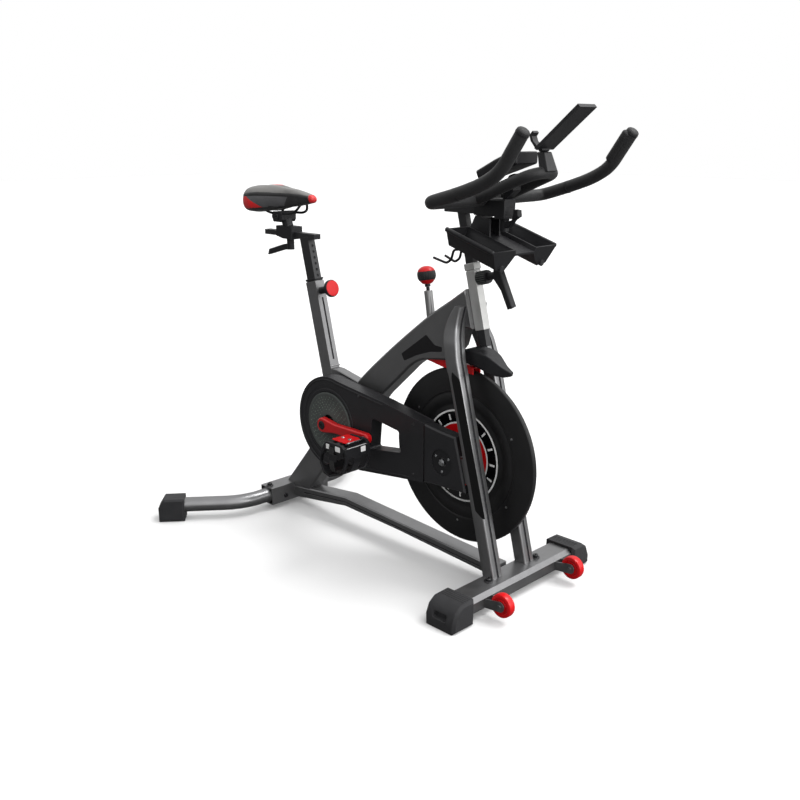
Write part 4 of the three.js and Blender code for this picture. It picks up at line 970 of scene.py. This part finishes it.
def saddle_section(x):
    """Half width, top and underside of the saddle at x; the ends turn in more sharply than the middle."""
    for (x0, *a), (x1, *b) in zip(SADDLE, SADDLE[1:]):
        if x >= x1:
            t = min(1, max(0, (x - x0) / (x1 - x0)))
            if x0 <= -200 and x1 >= -440:
                t = t * t * (3 - 2 * t) * 0.5 + t * 0.5
            return [p + (q - p) * t for p, q in zip(a, b)]
    return SADDLE[-1][1:]


def saddle_ring(x, shrink):
    w, top, low = saddle_section(x)
    top, low = top - 1.2, low + 1.2
    right = [(u * w * shrink, top - drop * (top - low)) for u, drop in SECTION]
    return [place(x, y, z) for y, z in right + [(-y, z) for y, z in reversed(right)]]


def inflate(obj, cap, pressure=4.0, voxel=5.0):
    """Cloth with pressure swells the padding; no point moves further than cap millimetres."""
    remesh = obj.modifiers.new("remesh", "REMESH")
    remesh.mode = "VOXEL"
    remesh.voxel_size = voxel * MM
    flatten(obj)
    start = [v.co.copy() for v in obj.data.vertices]
    cloth = obj.modifiers.new("cloth", "CLOTH").settings
    cloth.use_pressure = True
    cloth.uniform_pressure_force = pressure
    cloth.effector_weights.gravity = 0
    cloth.quality = 4
    cloth.tension_stiffness = 18
    cloth.bending_stiffness = 3
    for number in range(1, 21):
        bpy.context.scene.frame_set(number)
    flatten(obj)
    bpy.context.scene.frame_set(1)
    for vertex, rest in zip(obj.data.vertices, start):
        move = vertex.co - rest
        if move.length > cap * MM:
            vertex.co = rest + move.normalized() * cap * MM


def saddle():
    cushion = skin("saddle_cushion", [saddle_ring(x, 0.965) for x in SADDLE_RINGS])
    inflate(cushion, 5)
    relax = cushion.modifiers.new("relax", "SMOOTH")
    relax.iterations = 6
    relax.factor = 0.5
    fine = cushion.modifiers.new("fine", "SUBSURF")
    fine.levels = fine.render_levels = 1
    flatten(cushion)
    shape_saddle(cushion)
    for material in (VINYL_GREY, VINYL_DARK, VINYL_BLACK, VINYL_RED):
        cushion.data.materials.append(material)
    panels(cushion)
    finish_piece(smooth(cushion, 80), "seat_top", node="saddle")
    tree = BVHTree.FromObject(cushion, bpy.context.evaluated_depsgraph_get())
    for side, name in SIDES:
        seam_band("saddle_band_" + name, tree, side)
    stitches(tree)


def shape_saddle(obj):
    """A shallow channel along the middle of the top, and no point beyond the CAD saddle's box."""
    lo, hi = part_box("saddle")
    for v in obj.data.vertices:
        x, y = v.co.x / MM - DATUM, v.co.y / MM
        if v.co.z > (lo.z + hi.z) / 2:
            along = max(0.0, 1 - ((x + 350) / 85) ** 2)
            v.co.z -= 3.2 * MM * math.exp(-((y / 7) ** 2)) * along
        v.co = Vector((min(max(c, a), b) for c, a, b in zip(v.co, lo, hi)))


def past(cut, point):
    return (point - cut[0]).dot(cut[1]) > 0


def panel_at(point, normal):
    """Which panel of the cover a face belongs to."""
    w, top, low = saddle_section(max(-444, min(-192, point.x)))
    rim = top - (RIM_DROP + 0.06) * (top - low)
    if past(NOSE_CUT, point):
        return RED_PANEL
    if point.z > rim and abs(point.y) < w * 0.96:
        inlaid = point.y > w * 0.2 and INLAY[0] < point.x < INLAY[1]
        return RED_PANEL if inlaid else GREY_PANEL
    if normal.z < -0.55 and abs(point.y) < w * 0.86:
        return BLACK_PANEL
    if past(LOBE_CUT, point):
        return RED_PANEL
    return BLACK_PANEL if past(BLACK_CUT, point) else DARK_PANEL


def panels(obj):
    """Cuts the cover into its panels: a grey top with a red inlay, dark sides, red lobes and a red nose."""
    bm = bmesh.new()
    bm.from_mesh(obj.data)
    inlay_cuts = [(Vector((edge, 0, 910)), X) for edge in INLAY]
    for at, normal in [LOBE_CUT, NOSE_CUT, BLACK_CUT] + inlay_cuts:
        geometry = bm.verts[:] + bm.edges[:] + bm.faces[:]
        bmesh.ops.bisect_plane(bm, geom=geometry, plane_co=place(*at), plane_no=normal, dist=1e-7)
    for face in bm.faces:
        face.material_index = panel_at(face.calc_center_median() / MM - X * DATUM, face.normal)
    bm.to_mesh(obj.data)
    bm.free()


def rim_points(side, x0=-441, x1=-208, steps=44):
    points = []
    for i in range(steps + 1):
        x = x0 + (x1 - x0) * i / steps
        w, top, low = saddle_section(x)
        points.append(Vector((x, side * w * RIM_WIDTH, top - RIM_DROP * (top - low))))
    return points


def seam_band(name, tree, side):
    """The black band that covers the joint between the top and a side panel."""
    loops = []
    path = rim_points(side)
    for i, p in enumerate(path):
        share = i / (len(path) - 1)
        half = 6.0 - 1.6 * abs(share - 0.35) + 3.0 * max(0, share - 0.6)
        outer, inner = [], []
        for u in (-1, -0.5, 0, 0.5, 1):
            guess = place(*(p + Vector((0, -side * 0.45, 0.9)) * u * half))
            spot, normal, _, _ = tree.find_nearest(guess)
            if normal.dot(guess - place(p.x, 0, p.z - 8)) < 0:
                normal = -normal
            outer.append(spot + normal * (0.9 - 0.75 * u ** 2) * MM)
            inner.append(spot - normal * 0.8 * MM)
        loops.append(outer + inner[::-1])
    finish_piece(smooth(skin(name, loops), 50), "seat_top", VINYL_BLACK)


def stitches(tree):
    """Rows of short threads beside each band."""
    thread = 0.35 * MM
    bm = bmesh.new()
    for side, _ in SIDES:
        path = rim_points(side, -432, -226, 60)
        for pair in zip(path[::2], path[1::2]):
            ends = []
            for p in pair:
                spot, normal, _, _ = tree.find_nearest(place(*(p + Vector((0, -side * 5.5, 6.4)))))
                ends.append(spot + normal * 0.15 * MM)
            along = ends[1] - ends[0]
            turn = along.to_track_quat("Z", "Y").to_matrix().to_4x4()
            size = Matrix.Diagonal((thread, thread, along.length * 0.4, 1))
            matrix = Matrix.Translation((ends[0] + ends[1]) / 2) @ turn @ size
            bmesh.ops.create_icosphere(bm, subdivisions=1, radius=1, matrix=matrix)
    finish_piece(smooth(object_from(bm, "saddle_stitches"), 80), "seat_top", VINYL_DARK)


def seat_top():
    saddle()
    half = [(-396, 40, 884), (-366, 22, 866), (-275, 22, 869), (-254, 20, 876), (-241, 10, 897)]
    wire = rounded_path(half + mirrored(half), 12)
    bar("saddle_rail_wire", "seat_top", DARK_STEEL, wire, 3.5, 20, 1.0, "saddle_rails")
    dress("seat_carriage", BLACK, 1.8)
    for side, name in SIDES:
        at = (-331, side * 26.8, 857)
        screw("rail_clamp_bolt_" + name, "seat_top", at, Y * side, 7.5, 3.4, DARK_STEEL)
    dress("seat_lever", BLACK, 2.4)


# ---------------- handlebar

HORN = [(661, -193, 1087), (608, -193, 1010), (563, -193, 985), (500, -193, 964), (417, -203, 941)]
HORN_SEAM = ((500, -193, 964), (496, -193.3, 962.8))
INNER_LOOP = [(430, -45, 945), (516, -45, 981), (575, -38, 1003)]
BAR_RADIUS = 14.2
CARRIAGE = [
    (-20, 905), (-13.4, 905), (-13.4, 924.4), (13.4, 924.4), (13.4, 905), (20, 905), (20, 940), (16, 944),
    (-16, 944), (-20, 940),
]
CARRIAGE_FRONT = [(-13.4, 906), (13.4, 906), (13.4, 925), (-13.4, 925)]
BRIDGE = [(470, 938), (500, 962), (500, 1000), (486, 996), (470, 975)]
NUT_BLOCK = [(452, 899.6), (481, 899.6), (481, 906.4), (452, 906.4)]
SHELF_NECK = [(570, 18, 1006), (594, 18, 1006), (579, 13, 1046), (559, 13, 1046)]


def handlebar():
    bar("bar_tube", "bar", FOAM, rounded_path(HORN + mirrored(HORN), 30, 10), BAR_RADIUS, 40, 7, "handlebar")
    bar("bar_inner_loop", "bar", FOAM, rounded_path(INNER_LOOP + mirrored(INNER_LOOP), 30, 10), 13, 36, 5)
    tip, bend = Vector(HORN[0]), Vector(HORN[1])
    for side, name in SIDES:
        pad = [bend.lerp(tip, t) for t in (0.24, 0.4, 0.6, 0.8, 0.95)]
        bar("horn_pad_" + name, "bar", FOAM, [(p.x - 7, side * (-p.y - 8), p.z) for p in pad], 11, 28, 7)
        cap = [(p.x, side * -p.y, p.z) for p in (tip.lerp(bend, 0.035), tip.lerp(bend, 0.06))]
        bar("horn_cap_" + name, "bar", BLACK, cap, BAR_RADIUS + 0.6, 40, 0.5)
        seam = [(x, side * -y, z) for x, y, z in HORN_SEAM]
        bar("grip_seam_" + name, "bar", BLACK, seam, BAR_RADIUS + 0.5, 40, 0.4)
    carriage()
    dress("console", BLACK, 3.0)
    console_face()
    dress("tablet_holder", SATIN, 1.1)
    dress("foreaft_lever", BLACK, 2.2)


def carriage():
    """The block that slides on the level rail, with the arms that carry the loop and the shelf's neck."""
    plate("bar_carriage", "bar", BLACK, CARRIAGE, 392, 481, 1.2, plane="yz")
    plate("bar_carriage_front", "bar", BLACK, CARRIAGE_FRONT, 477, 480.6, 0.8, plane="yz")
    plate("bar_bridge", "bar", BLACK, BRIDGE, -14, 14, 2.5)
    plate("bar_nut_block", "bar", BLACK, NUT_BLOCK, -20, 20, 1.0)
    sides = [[place(x, side * y, z) for x, y, z in SHELF_NECK] for side in (-1, 1)]
    finish_piece(round_edges(skin("shelf_neck", sides), 2.4), "bar", SATIN)


def console_face():
    """A dark glass and plain keys on the console's face towards the rider."""
    corner = Vector((409, 0, 1003))
    along = (Vector((462, 0, 1029)) - corner).normalized()
    out = along.cross(Y)

    def patch(name, start, end, y0, y1, lift, material):
        corners = ((start, -1), (end, -1), (end, lift), (start, lift))
        points = [corner + along * t + out * h for t, h in corners]
        plate(name, "bar", material, [(p.x, p.z) for p in points], y0, y1, 0.4)

    patch("console_glass", 14, 54, -32, 32, 0.5, GLOSS)
    for k in range(4):
        patch("console_key_%d" % k, 4, 10.5, -30 + 16 * k, -18 + 16 * k, 1.0, FOAM)


# ---------------- handlebar post and rack

HOOK = [
    (265, -15, 796), (307, -15, 787), (322, -15, 797), (328, -14, 820), (347, -6, 822), (347, 6, 822),
    (328, 14, 820), (322, 15, 797), (307, 15, 787), (275, 15, 799),
]
RACK = Vector((393, 0, 881.1))
RACK_TILT = 0.3037
RACK_LENGTH = 144
CLAMP_HEIGHT = 755
CLAMP_RADIUS = 15.2


def on_rack(along, y, up):
    """A point of the rack, which tilts down to the front."""
    c, n = math.cos(RACK_TILT), math.sin(RACK_TILT)
    return Vector((RACK.x + along * c + up * n, y, RACK.z - along * n + up * c))


def bar_post():
    # The holes' inner faces take the dark groove colour: painted shade.
    carved("handlebar_post", SATIN, post_holes(HEAD_PIVOT, range(806, 862, 14), 11.5, 3, 2, 20), 0.8)
    dress("dumbbell_rack", BLACK, 1.1, 2)
    for side, name in SIDES:
        rim = [on_rack(along, side * 111, -2) for along in (1, 50, 97, RACK_LENGTH - 3)]
        bar("rack_rim_" + name, "bar_height_post", BLACK, rim, 5.4, 20, 3)
        plug = [on_rack(along, side * 72, -40) for along in (RACK_LENGTH - 0.6, RACK_LENGTH + 4)]
        bar("drain_plug_%s_0" % name, "bar_height_post", RUBBER, plug, 7.2, 28, 0.6)
    bar("hook_wire", "bar_height_post", DARK_STEEL, rounded_path(HOOK, 7), 3.0, 16, 1.5, "wire_hook")


def height_lever():
    dress("height_lever", BLACK, 2.2)
    base = on_post(HEAD_PIVOT, CLAMP_HEIGHT)
    for k, out in enumerate(spokes(Y, POST_FRONT.cross(Y), 20)):
        rib = [base + POST_FRONT * ahead + out * CLAMP_RADIUS for ahead in (17, 41)]
        bar("clamp_rib_%d" % k, "bar_height_lever", CAP_GREY, rib, 1.1, 8, 0.9)


# ---------------- studio

FLOOR_REACH = 20000
FLOOR_LIFT = 0.06
WHITE_LIGHT = (1, 1, 1, 1)
FLOOR_BOUNCE = (0.09, 0.09, 0.09, 1)  # the floor's colour to all but the camera
SUN_FROM = (0.35, 0.5, 1.1)
SKY = {"dim": 0.12, "ahead": 1.9, "above": 1.0, "left": 0.3, "behind": 0.15}
SKY_RAMPS = (("X", 0.05, 1, "ahead"), ("Z", 0, 1, "above"), ("Y", 0, 1, "left"), ("X", 0, -1, "behind"))
CAMERA_AT = (1795.34, -1650.65, 1084.19)
CAMERA_AZIMUTH, CAMERA_ELEVATION = 45.18, 16.08
LENS = 41.669


def floor():
    r = FLOOR_REACH
    slab = prism("floor", [(-r, -r), (r, -r), (r, r), (-r, r)], -6, -0.2, "xy")
    ground = Surface("studio_floor", 0xDADADA, 0.7).tones(0.008, 3)
    ground.grain(ground.noise(60), 0.05)
    seen = ground.seen_by_camera()
    ground.colour = ground.mix(seen, FLOOR_BOUNCE, ground.colour)
    ground.set(Emission_Color=WHITE_LIGHT, Emission_Strength=ground.spread(seen, 0, FLOOR_LIFT, 0, 1))
    ground.set(Specular_IOR_Level=0.1)
    slab.data.materials.append(ground.done(0.15))


def sky(scene):
    """A soft surround: bright ahead of the bike and above it, dim beside it. The camera sees plain white."""
    scene.world = bpy.data.worlds.new("studio")
    scene.world.use_nodes = True
    nodes = Nodes(scene.world.node_tree)
    direction = nodes.add("ShaderNodeTexCoord", {}, "Generated")
    total = SKY["dim"]
    for axis, start, end, name in SKY_RAMPS:
        along = nodes.add("ShaderNodeSeparateXYZ", {"Vector": direction}, axis)
        ramp = nodes.spread(along, 0, SKY[name], start, end, interpolation_type="SMOOTHSTEP")
        total = nodes.math("ADD", total, ramp)
    light = nodes.add("ShaderNodeBackground", {"Color": WHITE_LIGHT, "Strength": total})
    plain = nodes.add("ShaderNodeBackground", {"Color": WHITE_LIGHT})
    mixed = nodes.add("ShaderNodeMixShader", {"Fac": nodes.seen_by_camera(), 1: light, 2: plain})
    nodes.feed(nodes.tree.nodes["World Output"], {"Surface": mixed})


def lamp(scene, name, kind, power, at, target, **settings):
    light = bpy.data.lights.new(name, kind)
    light.energy = power
    for key, value in settings.items():
        setattr(light, key, value)
    made = bpy.data.objects.new(name, light)
    made.location = at
    made.rotation_euler = (Vector(target) - Vector(at)).to_track_quat("-Z", "Y").to_euler()
    scene.collection.objects.link(made)


def studio():
    scene = bpy.context.scene
    floor()
    sky(scene)
    lamp(scene, "sun", "SUN", 1.7, SUN_FROM, (0, 0, 0), angle=math.radians(26))
    lamp(scene, "front", "AREA", 44, (4.0, 0.3, 1.5), (0, 0, 0.6), size=2.4)
    camera = bpy.data.cameras.new("camera")
    camera.sensor_width = 36
    camera.lens = LENS
    eye = bpy.data.objects.new("camera", camera)
    eye.location = place(*CAMERA_AT)
    eye.rotation_euler = (math.radians(90 - CAMERA_ELEVATION), 0, math.radians(CAMERA_AZIMUTH))
    scene.collection.objects.link(eye)
    scene.camera = eye
    scene.view_settings.view_transform = "Standard"


welded_frame()
base()
transport_wheels()
flywheel()
drive()
cranks()
trim()
brake()
seat_post()
seat_pin()
seat_top()
bar_post()
handlebar()
height_lever()
studio()
